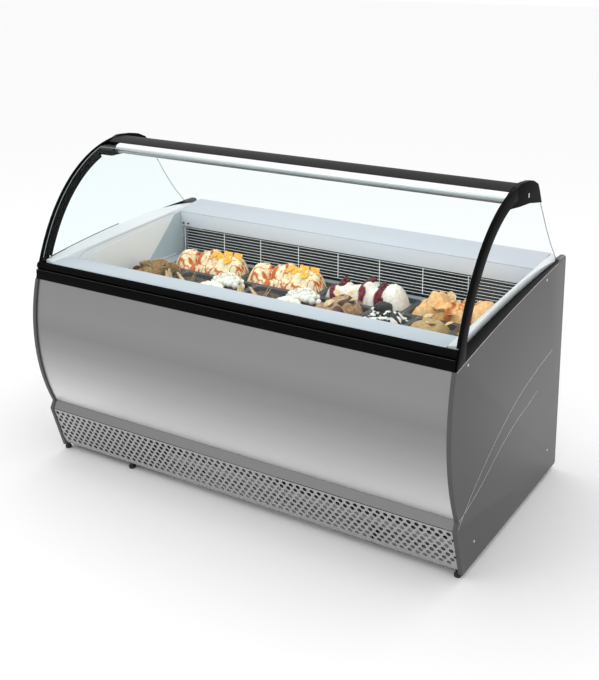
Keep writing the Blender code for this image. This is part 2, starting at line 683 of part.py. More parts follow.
def pan_mesh(name, width, depth):
    """Open pan with tapered walls and a flat rim, lofted through rounded rectangles."""
    bm = bmesh.new()
    rim, wall, taper = 0.0017, 0.0016, 0.016
    outer_w, outer_d = width - 0.016, depth - 0.016
    sections = [
        (outer_w - taper - 2 * wall, outer_d - taper - 2 * wall, wall - PAN_DEPTH, 0.020),
        (outer_w - 2 * wall, outer_d - 2 * wall, 0.0, 0.016),
        (width, depth, 0.0, 0.010),
        (width, depth, -rim, 0.010),
        (outer_w, outer_d, -rim, 0.018),
        (outer_w - taper, outer_d - taper, -PAN_DEPTH, 0.022),
    ]
    rings = [rounded_ring(bm, *section) for section in sections]
    count = len(rings[0])
    for first, second in zip(rings, rings[1:]):
        for i in range(count):
            bm.faces.new((first[i], first[(i + 1) % count], second[(i + 1) % count], second[i]))
    bm.faces.new(rings[0])
    bm.faces.new(rings[-1])
    bmesh.ops.recalc_face_normals(bm, faces=bm.faces)
    mesh = bpy.data.meshes.new(name)
    bm.to_mesh(mesh)
    bm.free()
    mesh.materials.append(paint("pan_grey"))
    return mesh


def pans():
    along, across = pan_mesh("pan_along", PAN_L, PAN_W), pan_mesh("pan_across", PAN_W, PAN_L)
    for name, x, y, width, depth in pan_places():
        pan = place(name, along if width > depth else across, "pan_grey")
        pan.location = (x, y, PAN_RIM_Z)


# ---------------------------------------------------------------- refrigeration
def evaporator_coil():
    """Finned block with its return bends, the fan shroud in front of it and the two fan motors."""
    coil = box("evaporator_coil", (-0.700, 0.374, 0.440), (0.700, 0.434, 0.740), "fin_dark")
    loops = [rectangle(GAP - WELL_HALF, WELL_HALF - GAP, WELL_FLOOR + GAP, 0.600)]
    for x in (-FAN_X, FAN_X):
        loops.append(circle(x, FAN_Z, 0.066, 28))
    shroud = as_mesh(front_plate("fan_shroud", loops, 0.3500, 0.3520, None, CUTTERS))
    boolean(coil, shroud, "UNION")
    for side in (-1, 1):
        x = side * 0.695
        low, high = (x - 0.003, 0.3510, 0.445), (x + 0.003, 0.3760, 0.595)
        cheek = box(f"shroud_cheek_{side}", low, high, None, CUTTERS)
        boolean(coil, cheek, "UNION")
        x = side * FAN_X
        motor = rod(f"fan_motor_{side}", (x, 0.3590, FAN_Z), (x, 0.3800, FAN_Z), 0.022, None, 20, CUTTERS)
        boolean(coil, motor, "UNION")
        x = side * 0.712
        for row in range(4):
            z = 0.475 + row * 0.075
            low, high = (x - 0.016, 0.386, z), (x + 0.016, 0.422, z + 0.030)
            bend = box(f"coil_bend_{side}_{row}", low, high, None, CUTTERS)
            boolean(coil, bend, "UNION")


def blower(name, x, y, z, radius, finish):
    """A five-bladed fan wheel turning about Y, cut from a plate so that it is one body."""
    points = []
    for i in range(60):
        angle = 2 * math.pi * i / 60
        blade = max(0.0, math.cos(5 * angle)) ** 0.35
        reach = radius * (0.32 + 0.68 * blade)
        points.append((reach * math.cos(angle + 0.35 * blade), reach * math.sin(angle + 0.35 * blade)))
    wheel = front_plate(name, [points], -0.005, 0.005, finish)
    wheel.location = (x, y, z)
    return wheel


def compressor():
    """Hermetic compressor: a turned two-part can on a mounting plate."""
    x, y, low = -0.52, 0.20, BASE_Z + BASE_T + GAP
    profile = [(0.0, 0.185), (0.045, 0.180), (0.074, 0.160), (0.086, 0.125), (0.086, 0.098)]
    profile += [(0.092, 0.096), (0.092, 0.088), (0.086, 0.086), (0.084, 0.050), (0.070, 0.022), (0.0, 0.014)]
    mesh = bpy.data.meshes.new("compressor")
    mesh.from_pydata([(r, 0, z) for r, z in profile], [(i, i + 1) for i in range(len(profile) - 1)], [])
    can = place("compressor", mesh, "compressor_black")
    can.location = (x, y, low)
    screw = can.modifiers.new("turn", "SCREW")
    screw.steps = screw.render_steps = 28
    screw.use_merge_vertices = True
    screw.merge_threshold = 0.0001
    corner, far_corner = (x - 0.095, y - 0.070, low), (x + 0.095, y + 0.070, low + 0.018)
    feet = box("compressor_feet", corner, far_corner, None, CUTTERS)
    boolean(can, feet, "UNION")


def condenser():
    """Finned condenser behind the plinth grille; the shroud behind it carries the fan motor on a strut."""
    low = BASE_Z + BASE_T + GAP
    core = box("condenser", (-0.300, -0.310, low), (0.120, -0.262, low + 0.170), "fin_dark")
    shroud = box("condenser_shroud", (-0.304, -0.268, low), (0.124, -0.220, low + 0.174), None, CUTTERS)
    z = low + 0.087
    bore = rod("condenser_bore", (-0.09, -0.256, z), (-0.09, -0.20, z), 0.078, None, 32, CUTTERS)
    motor = rod("condenser_motor", (-0.09, -0.2130, z), (-0.09, -0.165, z), 0.030, None, 24, CUTTERS)
    strut = box("motor_strut", (-0.210, -0.2230, low + 0.079), (0.030, -0.2090, low + 0.095), None, CUTTERS)
    boolean(core, shroud, "UNION")
    boolean(core, bore, "DIFFERENCE")
    boolean(core, strut, "UNION")
    boolean(core, motor, "UNION")


# ---------------------------------------------------------------- base and castors
def base_frame():
    """Welded floor frame with a deck plate for the machinery."""
    loops = [rectangle(-0.826, 0.826, -0.335, 0.470)]
    for left, right in ((-0.796, -0.690), (0.690, 0.796)):
        loops.append(rectangle(left, right, -0.305, 0.440))
    top_plate("base_frame", loops, BASE_Z, BASE_Z + BASE_T, "zinc")


def castor_fork_mesh():
    """Inverted U with an axle across its feet and a swivel boss on top. The origin is on the swivel axis."""
    half, arm, top, axle_z = WHEEL_W / 2 + 0.0015, 0.0025, BASE_Z - GAP, WHEEL_R
    outline = [(-half - arm, axle_z - 0.008), (-half - arm, top - 0.008), (half + arm, top - 0.008)]
    outline += [(half + arm, axle_z - 0.008), (half, axle_z - 0.008), (half, top - 0.012)]
    outline += [(-half, top - 0.012), (-half, axle_z - 0.008)]
    blank = front_plate("castor_fork_blank", [outline], -CASTOR_TRAIL - 0.009, 0.012, "zinc", CUTTERS)
    fork = as_mesh(blank)
    boss = rod("castor_boss", (0, 0, top - 0.010), (0, 0, top), 0.016, None, 20, CUTTERS)
    axle = rod(
        "castor_axle",
        (-half - arm - 0.002, -CASTOR_TRAIL, axle_z),
        (half + arm + 0.002, -CASTOR_TRAIL, axle_z),
        0.004, None, 14, CUTTERS,
    )
    boolean(fork, boss, "UNION")
    boolean(fork, axle, "UNION")
    bpy.context.view_layer.update()
    mesh = bpy.data.meshes.new_from_object(fork.evaluated_get(bpy.context.evaluated_depsgraph_get()))
    mesh.transform(fork.matrix_world)
    for helper in (fork, boss, axle):
        bpy.data.objects.remove(helper)
    return mesh


def castor_wheel_mesh():
    """Tyre and hub turned in one, about X, with a bore for the axle."""
    half, bore = WHEEL_W / 2, 0.0043
    profile = [(half, bore), (half, WHEEL_R - 0.004)]
    profile += [(half - 0.003, WHEEL_R - 0.001), (half - 0.006, WHEEL_R)]
    profile += [(-x, r) for x, r in profile[::-1]]
    bm = bmesh.new()
    rings = []
    for i in range(24):
        angle = 2 * math.pi * i / 24
        rings.append([bm.verts.new((x, r * math.cos(angle), r * math.sin(angle))) for x, r in profile])
    for first, second in zip(rings, rings[1:] + rings[:1]):
        for i in range(len(profile)):
            j = (i + 1) % len(profile)
            bm.faces.new((first[i], first[j], second[j], second[i]))
    bmesh.ops.recalc_face_normals(bm, faces=bm.faces)
    mesh = bpy.data.meshes.new("castor_wheel")
    bm.to_mesh(mesh)
    bm.free()
    mesh.materials.append(paint("rubber"))
    return mesh


def castors():
    fork_mesh, wheel_mesh = castor_fork_mesh(), castor_wheel_mesh()
    corners = {
        "front_left": (-CASTOR_X, CASTOR_FRONT_Y), "front_right": (CASTOR_X, CASTOR_FRONT_Y),
        "rear_left": (-CASTOR_X, CASTOR_REAR_Y), "rear_right": (CASTOR_X, CASTOR_REAR_Y),
    }
    for corner, (x, y) in corners.items():
        swivel = bpy.data.objects.new(f"castor_{corner}_swivel", None)
        PARTS.objects.link(swivel)
        swivel.location = (x, y, 0)
        fork = place(f"castor_fork_{corner}", fork_mesh, "zinc")
        wheel = place(f"castor_wheel_{corner}", wheel_mesh, "rubber")
        fork.parent = swivel
        wheel.parent = swivel
        wheel.location = (0, -CASTOR_TRAIL, WHEEL_R)


# ---------------------------------------------------------------- controls
def control_panel():
    """Controller bezel on the server's side, with a window for the rocker switch."""
    low, high = 0.5010, 0.5065
    loops = [rectangle(0.470, 0.700, 0.690, 0.760), rectangle(0.4890, 0.5110, 0.7105, 0.7395)]
    front_plate("control_panel", loops, low, high, "plastic_black")


def power_switch():
    """Rocker that tips about X inside the bezel's window, resting at the off end of its travel."""
    tip = math.radians(SWITCH_TIP)
    outline = []
    for y, z in ((-0.0008, -0.0135), (-0.0008, 0.0135), (0.0045, 0.0130), (0.0030, 0.0), (0.0045, -0.0130)):
        turned_y = y * math.cos(tip) - z * math.sin(tip)
        turned_z = y * math.sin(tip) + z * math.cos(tip)
        outline.append((SWITCH_Y + turned_y, SWITCH_Z + turned_z))
    side_plate("power_switch", [outline], 0.4896, 0.5104, "plastic_black")


def build():
    for side, word in ((-1, "left"), (1, "right")):
        end_panel(f"end_panel_{word}", side)
        side_trim(f"side_trim_{word}", side)
        side_glass(f"side_glass_{word}", side)
        cap(f"cap_{word}", side)
        hinge_block(f"hinge_block_{word}", side)
        side_liner(f"side_liner_{word}", side)
    front_panel()
    plinth_band()
    plinth_grille()
    rear_panel()
    bumper_strip()
    arch_left()
    arch_right()
    top_rail()
    lamp_housing()
    lamp_lens()
    front_glass()
    glass_holder()
    insulated_tub()
    front_ledge()
    front_air_duct()
    rear_counter()
    air_grille()
    pan_frame()
    pans()
    evaporator_coil()
    blower("evaporator_fan_left", -FAN_X, 0.3510, FAN_Z, 0.060, "plastic_black")
    blower("evaporator_fan_right", FAN_X, 0.3510, FAN_Z, 0.060, "plastic_black")
    compressor()
    condenser()
    blower("condenser_fan", -0.09, -0.2400, BASE_Z + BASE_T + GAP + 0.087, 0.072, "plastic_black")
    base_frame()
    castors()
    control_panel()
    power_switch()


def centre_footprint():
    """Moves every part so that the origin is under the middle of the whole footprint."""
    for made in list(PARTS.objects) + list(CUTTERS.objects):
        if made.parent is None:
            made.location.y -= FOOTPRINT_Y


build()
centre_footprint()
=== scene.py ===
import math
import random

import bmesh
import bpy
from mathutils import Matrix, Vector, noise


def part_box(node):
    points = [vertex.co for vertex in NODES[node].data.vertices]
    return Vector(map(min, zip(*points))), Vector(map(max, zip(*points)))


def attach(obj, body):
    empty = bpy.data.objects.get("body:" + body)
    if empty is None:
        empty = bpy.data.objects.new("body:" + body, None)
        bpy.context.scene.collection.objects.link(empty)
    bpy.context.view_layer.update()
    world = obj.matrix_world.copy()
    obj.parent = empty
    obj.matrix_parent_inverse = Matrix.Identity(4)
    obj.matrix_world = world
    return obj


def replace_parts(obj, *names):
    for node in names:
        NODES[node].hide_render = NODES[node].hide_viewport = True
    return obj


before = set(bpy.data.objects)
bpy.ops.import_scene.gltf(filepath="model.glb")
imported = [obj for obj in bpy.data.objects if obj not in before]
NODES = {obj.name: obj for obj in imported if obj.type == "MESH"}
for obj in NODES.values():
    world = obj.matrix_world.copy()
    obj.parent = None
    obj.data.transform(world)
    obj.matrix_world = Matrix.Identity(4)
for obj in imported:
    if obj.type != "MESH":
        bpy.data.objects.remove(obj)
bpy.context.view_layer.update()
SHIFT = Vector((0.0, -0.0109, 0.0))    # from the drawing frame of the pieces to the frame's own origin


# ---------------------------------------------------------------- materials
def triple(value):
    """Three equal numbers for one, as for a grey or an even scale."""
    return value if isinstance(value, tuple) else (value,) * 3


def fill(node, **values):
    """Sets a node's inputs; an underscore stands for a space in an input's name."""
    for key, value in values.items():
        node.inputs[key.replace("_", " ")].default_value = value


def shader_of(material):
    return material.node_tree.nodes["Principled BSDF"]


def principled(name, colour, rough, metal=0.0, **extra):
    material = bpy.data.materials.new(name)
    material.use_nodes = True
    fill(shader_of(material), Base_Color=(*triple(colour), 1), Roughness=rough, Metallic=metal, **extra)
    return material


def add(material, kind, **settings):
    node = material.node_tree.nodes.new("ShaderNode" + kind)
    for key, value in settings.items():
        setattr(node, key, value)
    return node


def add_math(material, operation, *values):
    """A math node; the values are those of its second and third inputs."""
    node = add(material, "Math", operation=operation)
    for index, value in enumerate(values, 1):
        node.inputs[index].default_value = value
    return node


def link(material, source, output, target, entry):
    material.node_tree.links.new(source.outputs[output], target.inputs[entry])


def relief(material, field, strength, distance):
    """Bump that follows a noise."""
    node = add(material, "Bump")
    fill(node, Strength=strength, Distance=distance)
    link(material, field, "Fac", node, "Height")
    link(material, node, "Normal", shader_of(material), "Normal")


def grain(name, colour, rough, metal, scale, detail, bump, span=None, shade=None, distance=0.0003, **extra):
    """A material whose roughness, colour and bump follow one stretched noise."""
    material = principled(name, colour, rough, metal, **extra)
    shader = shader_of(material)
    place, stretch, field = (add(material, kind) for kind in ("TexCoord", "Mapping", "TexNoise"))
    fill(stretch, Scale=triple(scale))
    fill(field, Scale=1.0, Detail=detail)
    link(material, place, "Object", stretch, "Vector")
    link(material, stretch, "Vector", field, "Vector")
    if span:
        spread = add(material, "MapRange")
        fill(spread, To_Min=span[0], To_Max=span[1])
        link(material, field, "Fac", spread, "Value")
        link(material, spread, "Result", shader, "Roughness")
    if shade:
        ramp = add(material, "ValToRGB")
        for mark, position, tone in zip(ramp.color_ramp.elements, (0.3, 0.7), shade):
            mark.position, mark.color = position, (*tone, 1)
        link(material, field, "Fac", ramp, "Fac")
        link(material, ramp, "Color", shader, "Base Color")
    if bump:
        relief(material, field, bump, distance)
    return material


def paint_light_by_lean(material, stops, tint=(1, 1, 1.01)):
    """Paints shade and highlight into the base colour by how far a surface leans up or down, as studio light
    falls on a bent sheet.
    """
    surface, split, ramp = (add(material, kind) for kind in ("NewGeometry", "SeparateXYZ", "ValToRGB"))
    half = add_math(material, "MULTIPLY_ADD", 0.5, 0.5)
    link(material, surface, "Normal", split, "Vector")
    link(material, split, "Z", half, 0)
    link(material, half, 0, ramp, "Fac")
    marks = ramp.color_ramp.elements
    while len(marks) < len(stops):
        marks.new(0.5)
    for mark, (rise, tone) in zip(marks, stops):
        mark.position = 0.5 + 0.5 * rise
        mark.color = (*(tone * share for share in tint), 1)
    link(material, ramp, "Color", shader_of(material), "Base Color")
    return material


def pane(name, colour):
    """Clear tinted pane: light passes straight through and only a faint sheen is reflected."""
    material = principled(name, colour, 0.02)
    clear, facing, mix = (add(material, kind) for kind in ("BsdfTransparent", "LayerWeight", "MixShader"))
    fill(clear, Color=(*colour, 1))
    fill(facing, Blend=0.5)
    curve = add_math(material, "POWER", 5.0)
    amount = add_math(material, "MULTIPLY_ADD", 0.10, 0.004)
    link(material, facing, "Facing", curve, 0)
    link(material, curve, 0, amount, 0)
    link(material, amount, 0, mix, "Fac")
    link(material, clear, 0, mix, 1)
    link(material, shader_of(material), 0, mix, 2)
    link(material, mix, 0, material.node_tree.nodes["Material Output"], "Surface")
    return material


def scoop(name, base, sauce, rough=0.45, fleck=None):
    """Ice cream: fine pits and soft shading, with a sauce painted where the mesh's own mask says."""
    material = principled(name, base, rough, Subsurface_Weight=0.12, Subsurface_Scale=0.01)
    shader = shader_of(material)
    place, field = add(material, "TexCoord"), add(material, "TexNoise")
    sharpen, wet = add(material, "MapRange"), add(material, "MapRange")
    mask = add(material, "Attribute", attribute_name="sauce")
    tone, mix = (add(material, "Mix", data_type="RGBA") for _ in range(2))
    fill(field, Scale=90.0, Detail=6.0)
    fill(sharpen, From_Min=0.45, From_Max=0.7)
    fill(tone, A=(*base, 1), B=(*(fleck or tuple(0.8 * c for c in base)), 1))
    fill(mix, B=(*sauce, 1))
    fill(wet, To_Min=rough, To_Max=0.16)
    link(material, place, "Object", field, "Vector")
    link(material, field, "Fac", sharpen, "Value")
    link(material, sharpen, "Result", tone, "Factor")
    link(material, mask, "Fac", mix, "Factor")
    link(material, tone, "Result", mix, "A")
    link(material, mix, "Result", shader, "Base Color")
    link(material, mask, "Fac", wet, "Value")
    link(material, wet, "Result", shader, "Roughness")
    relief(material, field, 0.35, 0.002)
    return material


SIDE_STEEL = grain("side_lacquer", (0.085, 0.085, 0.086), 0.42, 0.55, 900, 2.0, 0.10, (0.38, 0.46),
                   distance=0.00005)
# painted reflection: the brushed front and rear steel is lighter where the bowed sheet turns downwards and
# darkest where it faces straight ahead
FRONT_STEEL = paint_light_by_lean(grain("front_brushed", (0.40, 0.40, 0.405), 0.36, 0.85, (3, 900, 900), 3.0, 0.12,
                         (0.30, 0.42), distance=0.00006),
                   ((-0.46, 0.82), (-0.32, 0.57), (-0.21, 0.40), (-0.10, 0.285), (0.0, 0.228),
                    (0.11, 0.257), (0.24, 0.253)))
BAND_STEEL = grain("band_steel", 0.20, 0.45, 0.6, (6, 700, 700), 3.0, 0.1, (0.40, 0.52))
GRILLE_STEEL = grain("grille_steel_fine", 0.42, 0.42, 0.6, 400, 2.0, 0.05, (0.36, 0.5))
BLACK = grain("black_moulding", 0.0045, 0.22, 0.0, 60, 2.0, 0.02, (0.18, 0.28), Specular_IOR_Level=0.008)
# painted sheen: the black cover of the top rail and caps is lighter on faces that look up than on its sides
BLACK_SOFT = paint_light_by_lean(grain("black_cover", (0.010, 0.010, 0.011), 0.42, 0.0, 500, 2.0, 0.10, (0.36, 0.48),
                        Specular_IOR_Level=0.01),
                  ((0.0, 0.004), (0.35, 0.006), (0.65, 0.016), (0.85, 0.026), (1.0, 0.034)))
# painted reflection: the extrusion is bright white where it faces up and grey where it faces down
ALU = paint_light_by_lean(grain("bright_extrusion", (0.86, 0.86, 0.87), 0.30, 0.85, (2, 600, 600), 2.0, 0.0, (0.28, 0.32)),
           ((-0.85, 0.22), (-0.35, 0.34), (0.0, 0.42), (0.40, 0.56), (0.72, 1.0), (1.0, 0.95)))
GLASS = pane("canopy_glass", (0.972, 0.998, 0.998))
SIDE_PANE = pane("side_pane_glass", (0.982, 0.998, 0.999))
LAMP = principled("lamp_diffuser", (0.95, 0.97, 1.0), 0.5, Emission_Color=(0.95, 0.98, 1, 1),
                  Emission_Strength=0.8)
# painted shade: faces of the liner that look up are darker than upright ones
LINER = paint_light_by_lean(grain("liner_white", (0.78, 0.815, 0.87), 0.34, 0.0, 14, 2.0, 0.05, (0.28, 0.40),
                   Specular_IOR_Level=0.25),
             ((-0.2, 0.86), (0.25, 0.84), (0.6, 0.67), (1.0, 0.54)), (0.955, 1.0, 1.085))
# painted shade: the flange grows darker the more it faces up
FLANGE = paint_light_by_lean(grain("flange_white", (0.76, 0.82, 0.87), 0.38, 0.0, 20, 2.0, 0.05, (0.30, 0.42),
                    Specular_IOR_Level=0.25),
              ((0.0, 0.84), (0.4, 0.80), (0.75, 0.76), (1.0, 0.72)), (0.995, 1.0, 1.02))
PANEL_WHITE = grain("recess_white", (0.86, 0.87, 0.87), 0.35, 0.0, 20, 2.0, 0.05, (0.3, 0.4))
FOAM = grain("tub_casing", (0.55, 0.57, 0.60), 0.5, 0.0, 40, 3.0, 0.1, (0.4, 0.6))
STAINLESS = grain("ledge_steel", (0.50, 0.56, 0.61), 0.36, 0.25, (3, 500, 500), 3.0, 0.1, (0.28, 0.42))
WIRE = grain("wire_coating", (0.92, 0.94, 0.95), 0.32, 0.0, 300, 2.0, 0.05, (0.25, 0.4))
FINS = grain("fin_black", (0.030, 0.033, 0.036), 0.45, 0.4, (200, 200, 30), 2.0, 0.1, (0.35, 0.55))
PAN = grain("pan_plastic", (0.075, 0.078, 0.082), 0.34, 0.0, 250, 3.0, 0.12, (0.28, 0.42))
PLASTIC = grain("plain_black", (0.020, 0.020, 0.021), 0.5, 0.0, 400, 2.0, 0.2, (0.42, 0.58))
RUBBER = grain("tread_rubber", 0.018, 0.8, 0.0, 300, 4.0, 0.3, (0.7, 0.9))
ZINC = grain("zinc_plate", (0.50, 0.51, 0.52), 0.38, 0.9, 60, 4.0, 0.1, (0.28, 0.5),
             ((0.44, 0.45, 0.46), (0.56, 0.57, 0.58)))
ENAMEL = grain("black_enamel", (0.014, 0.014, 0.015), 0.3, 0.0, 150, 3.0, 0.1, (0.24, 0.38))
GREY = grain("grey_enamel", (0.22, 0.23, 0.245), 0.45, 0.0, 200, 3.0, 0.1, (0.38, 0.52))
SCREW = principled("screw_steel", 0.65, 0.25, 1.0)
SCREW_WHITE = principled("screw_white", (0.85, 0.88, 0.9), 0.3)
# painted highlight: a bright strip along each end panel's rounded upper edge
EDGE = principled("panel_edge_highlight", 0.80, 0.25, 0.9)
# painted shade and painted highlight of the end panels' swept grooves
GROOVE_SHADE = principled("groove_painted_shade", (0.055, 0.055, 0.056), 0.5, 0.3)
GROOVE_HIGHLIGHT = principled("groove_painted_highlight", 0.85, 0.4, 0.2)
# painted shade: a darker blue-grey patch where shade falls on the rear of each side wall of the well
WALL_SHADE = grain("wall_painted_shade", (0.46, 0.54, 0.58), 0.4, 0.0, 20, 2.0, 0.05, (0.34, 0.46))
PANE_EDGE = principled("pane_edge_green", (0.16, 0.22, 0.21), 0.15)
# painted shade along the folds of the counter and of the well's side walls
FOLD_SHADE = principled("seam_shadow", (0.30, 0.34, 0.38), 0.5)
# painted highlight: the light seen in the gap between the two black mouldings
GAP_HIGHLIGHT = principled("gap_painted_highlight", (0.060, 0.062, 0.065), 0.4)
# painted highlight: the glint along the curved pane's free edges
PANE_EDGE_GLINT = principled("pane_edge_glint", (0.55, 0.66, 0.65), 0.2)


def sides(*names):
    """Each name with its left and its right end."""
    return [f"{name}_{word}" for name in names for word in ("left", "right")]


def by_name(groups):
    """A value for each name, out of (value, names) pairs."""
    return {name: value for value, names in groups for name in names}


FINISH = by_name((
    (SIDE_STEEL, sides("end_panel")),
    (FRONT_STEEL, ("front_panel", "rear_panel")),
    (BAND_STEEL, ("plinth_band",)),
    (BLACK, ("bumper_strip", "glass_holder", *sides("hinge_block", "arch", "side_trim"))),
    (BLACK_SOFT, ("top_rail", *sides("cap"))),
    (ALU, ("lamp_housing",)),
    (LAMP, ("lamp_lens",)),
    (GLASS, ("front_glass",)),
    (SIDE_PANE, sides("side_glass")),
    (FLANGE, sides("side_liner")),
    (LINER, ("front_ledge", "front_air_duct", "rear_counter")),
    (FOAM, ("insulated_tub",)),
    (STAINLESS, ("pan_frame",)),
    (FINS, ("evaporator_coil",)),
    (GREY, ("condenser",)),
    (PLASTIC, ("condenser_fan", "control_panel", *sides("evaporator_fan"))),
    (ENAMEL, ("power_switch", "compressor")),
    (ZINC, ("base_frame",)),
))
# the width of each node's rounded edges
BEVEL = by_name((
    (0.0005, ("rear_counter",)),
    (0.0006, ("front_ledge", "front_glass")),
    (0.0008, ("top_rail", "glass_holder", "power_switch", *sides("side_trim", "hinge_block", "side_glass"))),
    (0.0010, ("control_panel", "compressor", *sides("arch"))),
    (0.0012, ("bumper_strip", *sides("end_panel"))),
    (0.0015, sides("side_liner")),
    (0.0020, ("base_frame",)),
    (0.0040, sides("cap")),
))
PAN_BEVEL = 0.0008
WELD_GAP = 0.00002     # vertices nearer than this are one
SMOOTH_ANGLE = 32      # degrees, above which an edge stays sharp
BEVEL_ANGLE = 35       # degrees, above which an edge is rounded


def smooth_group():
    """Geometry nodes that weld the mesh and shade it smooth except across real edges."""
    group = bpy.data.node_groups.new("smooth_by_angle", "GeometryNodeTree")
    group.interface.new_socket("Geometry", in_out="INPUT", socket_type="NodeSocketGeometry")
    group.interface.new_socket("Geometry", in_out="OUTPUT", socket_type="NodeSocketGeometry")
    start, end = group.nodes.new("NodeGroupInput"), group.nodes.new("NodeGroupOutput")
    faces, edges = (group.nodes.new("GeometryNodeSetShadeSmooth") for _ in range(2))
    faces.domain, edges.domain = "FACE", "EDGE"
    faces.inputs["Shade Smooth"].default_value = True
    edges.inputs["Shade Smooth"].default_value = False
    angle = group.nodes.new("GeometryNodeInputMeshEdgeAngle")
    compare = group.nodes.new("FunctionNodeCompare")
    compare.data_type, compare.operation = "FLOAT", "GREATER_THAN"
    compare.inputs["B"].default_value = math.radians(SMOOTH_ANGLE)
    for source, output, target, entry in ((start, 0, faces, "Geometry"), (faces, 0, edges, "Geometry"),
                                          (angle, "Unsigned Angle", compare, "A"),
                                          (compare, 0, edges, "Selection"), (edges, 0, end, 0)):
        group.links.new(source.outputs[output], target.inputs[entry])
    return group


SMOOTH = smooth_group()


def refine(obj, width=0.0):
    """Welds and shades a frame node, with small rounded edges where a width is given."""
    weld = obj.modifiers.new("weld", "WELD")
    weld.merge_threshold = WELD_GAP
    if width:
        round_off = obj.modifiers.new("round", "BEVEL")
        round_off.width = width
        round_off.segments = 3
        round_off.limit_method = "ANGLE"
        round_off.angle_limit = math.radians(BEVEL_ANGLE)
    obj.modifiers.new("smooth", "NODES").node_group = SMOOTH


def dress_frame():
    """Gives each CAD node its finish; a loose pan, a fork and a wheel go by the start of their names."""
    for name, obj in NODES.items():
        loose_pan = name.startswith(("pan_rear_", "pan_front_"))
        finish = FINISH.get(name)
        if loose_pan:
            finish = PAN
        elif name.startswith("castor_fork"):
            finish = ZINC
        elif name.startswith("castor_wheel"):
            finish = RUBBER
        if finish:
            obj.data.materials.clear()
            obj.data.materials.append(finish)
            refine(obj, PAN_BEVEL if loose_pan else BEVEL.get(name, 0))


# ---------------------------------------------------------------- piece tools
def node_box(name):
    """A CAD node's corners in the drawing frame."""
    low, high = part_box(name)
    return Vector(low) - SHIFT, Vector(high) - SHIFT


def piece(name, bm, material, body="cabinet", smooth=True, angle=35):
    """Turns a drawn mesh into an object that rides on a body; its edges stay sharp above the angle."""
    bmesh.ops.recalc_face_normals(bm, faces=bm.faces)
    mesh = bpy.data.meshes.new(name)
    bm.to_mesh(mesh)
    bm.free()
    mesh.transform(Matrix.Translation(SHIFT))
    if smooth:
        mesh.shade_smooth()
        mesh.set_sharp_from_angle(angle=math.radians(angle))
    mesh.materials.append(material)
    obj = bpy.data.objects.new(name, mesh)
    bpy.context.scene.collection.objects.link(obj)
    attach(obj, body)
    return obj


def ring_points(count, radius, start=0.0):
    """Places evenly round a circle."""
    for k in range(count):
        a = 2 * math.pi * (k + start) / count
        yield radius * math.cos(a), radius * math.sin(a)


def skin(bm, rings):
    """Faces between closed rings of vertices that follow one another."""
    for first, second in zip(rings, rings[1:]):
        for k in range(len(first)):
            j = (k + 1) % len(first)
            bm.faces.new((first[k], first[j], second[j], second[k]))


def tube(bm, path, radius, count=8):
    """A round bar along a path, with a ring of vertices at each point."""
    path = [Vector(p) for p in path]
    rings = []
    for i, point in enumerate(path):
        ahead = (path[min(i + 1, len(path) - 1)] - path[max(i - 1, 0)]).normalized()
        side = ahead.cross(Vector((0, 0, 1)))
        if side.length < 0.1:
            side = ahead.cross(Vector((0, 1, 0)))
        side.normalize()
        up = side.cross(ahead).normalized()
        rings.append([bm.verts.new(point + side * c + up * s) for c, s in ring_points(count, radius)])
    skin(bm, rings)
    bm.faces.new(rings[0])
    bm.faces.new(rings[-1])


def rods(name, paths, radius, material, body="cabinet", count=8):
    """One piece made of round bars."""
    bm = bmesh.new()
    for path in paths:
        tube(bm, path, radius, count)
    return piece(name, bm, material, body)


def block(bm, low, high):
    """A box between two corners."""
    low, high = Vector(low), Vector(high)
    matrix = Matrix.Translation((low + high) / 2) @ Matrix.Diagonal((*(high - low), 1))
    bmesh.ops.create_cube(bm, size=1.0, matrix=matrix)


def flat_block(name, low, high, material):
    """A piece that is one box."""
    bm = bmesh.new()
    block(bm, low, high)
    piece(name, bm, material, smooth=False)


def ribbon(name, path, width, x, material):
    """A piece that is a thin flat line on an X plane."""
    bm = bmesh.new()
    left, right = [], []
    for i, point in enumerate(path):
        here = Vector(point)
        ahead = (Vector(path[min(i + 1, len(path) - 1)]) - Vector(path[max(i - 1, 0)])).normalized()
        normal = Vector((-ahead.y, ahead.x)) * width / 2
        for row, place in ((left, here + normal), (right, here - normal)):
            row.append(bm.verts.new((x, place.x, place.y)))
    for i in range(len(path) - 1):
        bm.faces.new((left[i], left[i + 1], right[i + 1], right[i]))
    piece(name, bm, material, smooth=False)


def thin_plate(name, outline, x, thick, material):
    """A flat plate on an X plane, its thickness along X."""
    bm = bmesh.new()
    face = bm.faces.new([bm.verts.new((x, y, z)) for y, z in outline])
    made = bmesh.ops.extrude_face_region(bm, geom=[face])
    lifted = [v for v in made["geom"] if isinstance(v, bmesh.types.BMVert)]
    bmesh.ops.translate(bm, verts=lifted, vec=(thick, 0, 0))
    piece(name, bm, material, smooth=False)


def spline(points, steps=8):
    """A smooth run through the given 2D points."""
    points = [Vector(p) for p in points]
    run = []
    for i in range(len(points) - 1):
        a, b = points[max(i - 1, 0)], points[i]
        c, d = points[i + 1], points[min(i + 2, len(points) - 1)]
        for k in range(steps):
            t = k / steps
            run.append(0.5 * ((2 * b) + (c - a) * t + (2 * a - 5 * b + 4 * c - d) * t * t
                              + (3 * b - a - 3 * c + d) * t ** 3))
    run.append(points[-1])
    return [tuple(p) for p in run]


SCREW_SIDES = 16
SCREW_RISE = 0.5       # height of a head's profile against its radius
SCREW_PROFILE = ((1.0, 0.0), (0.96, 0.30), (0.70, 0.52), (0.35, 0.60), (0.22, 0.34))
SCREW_RADIUS = 0.0045


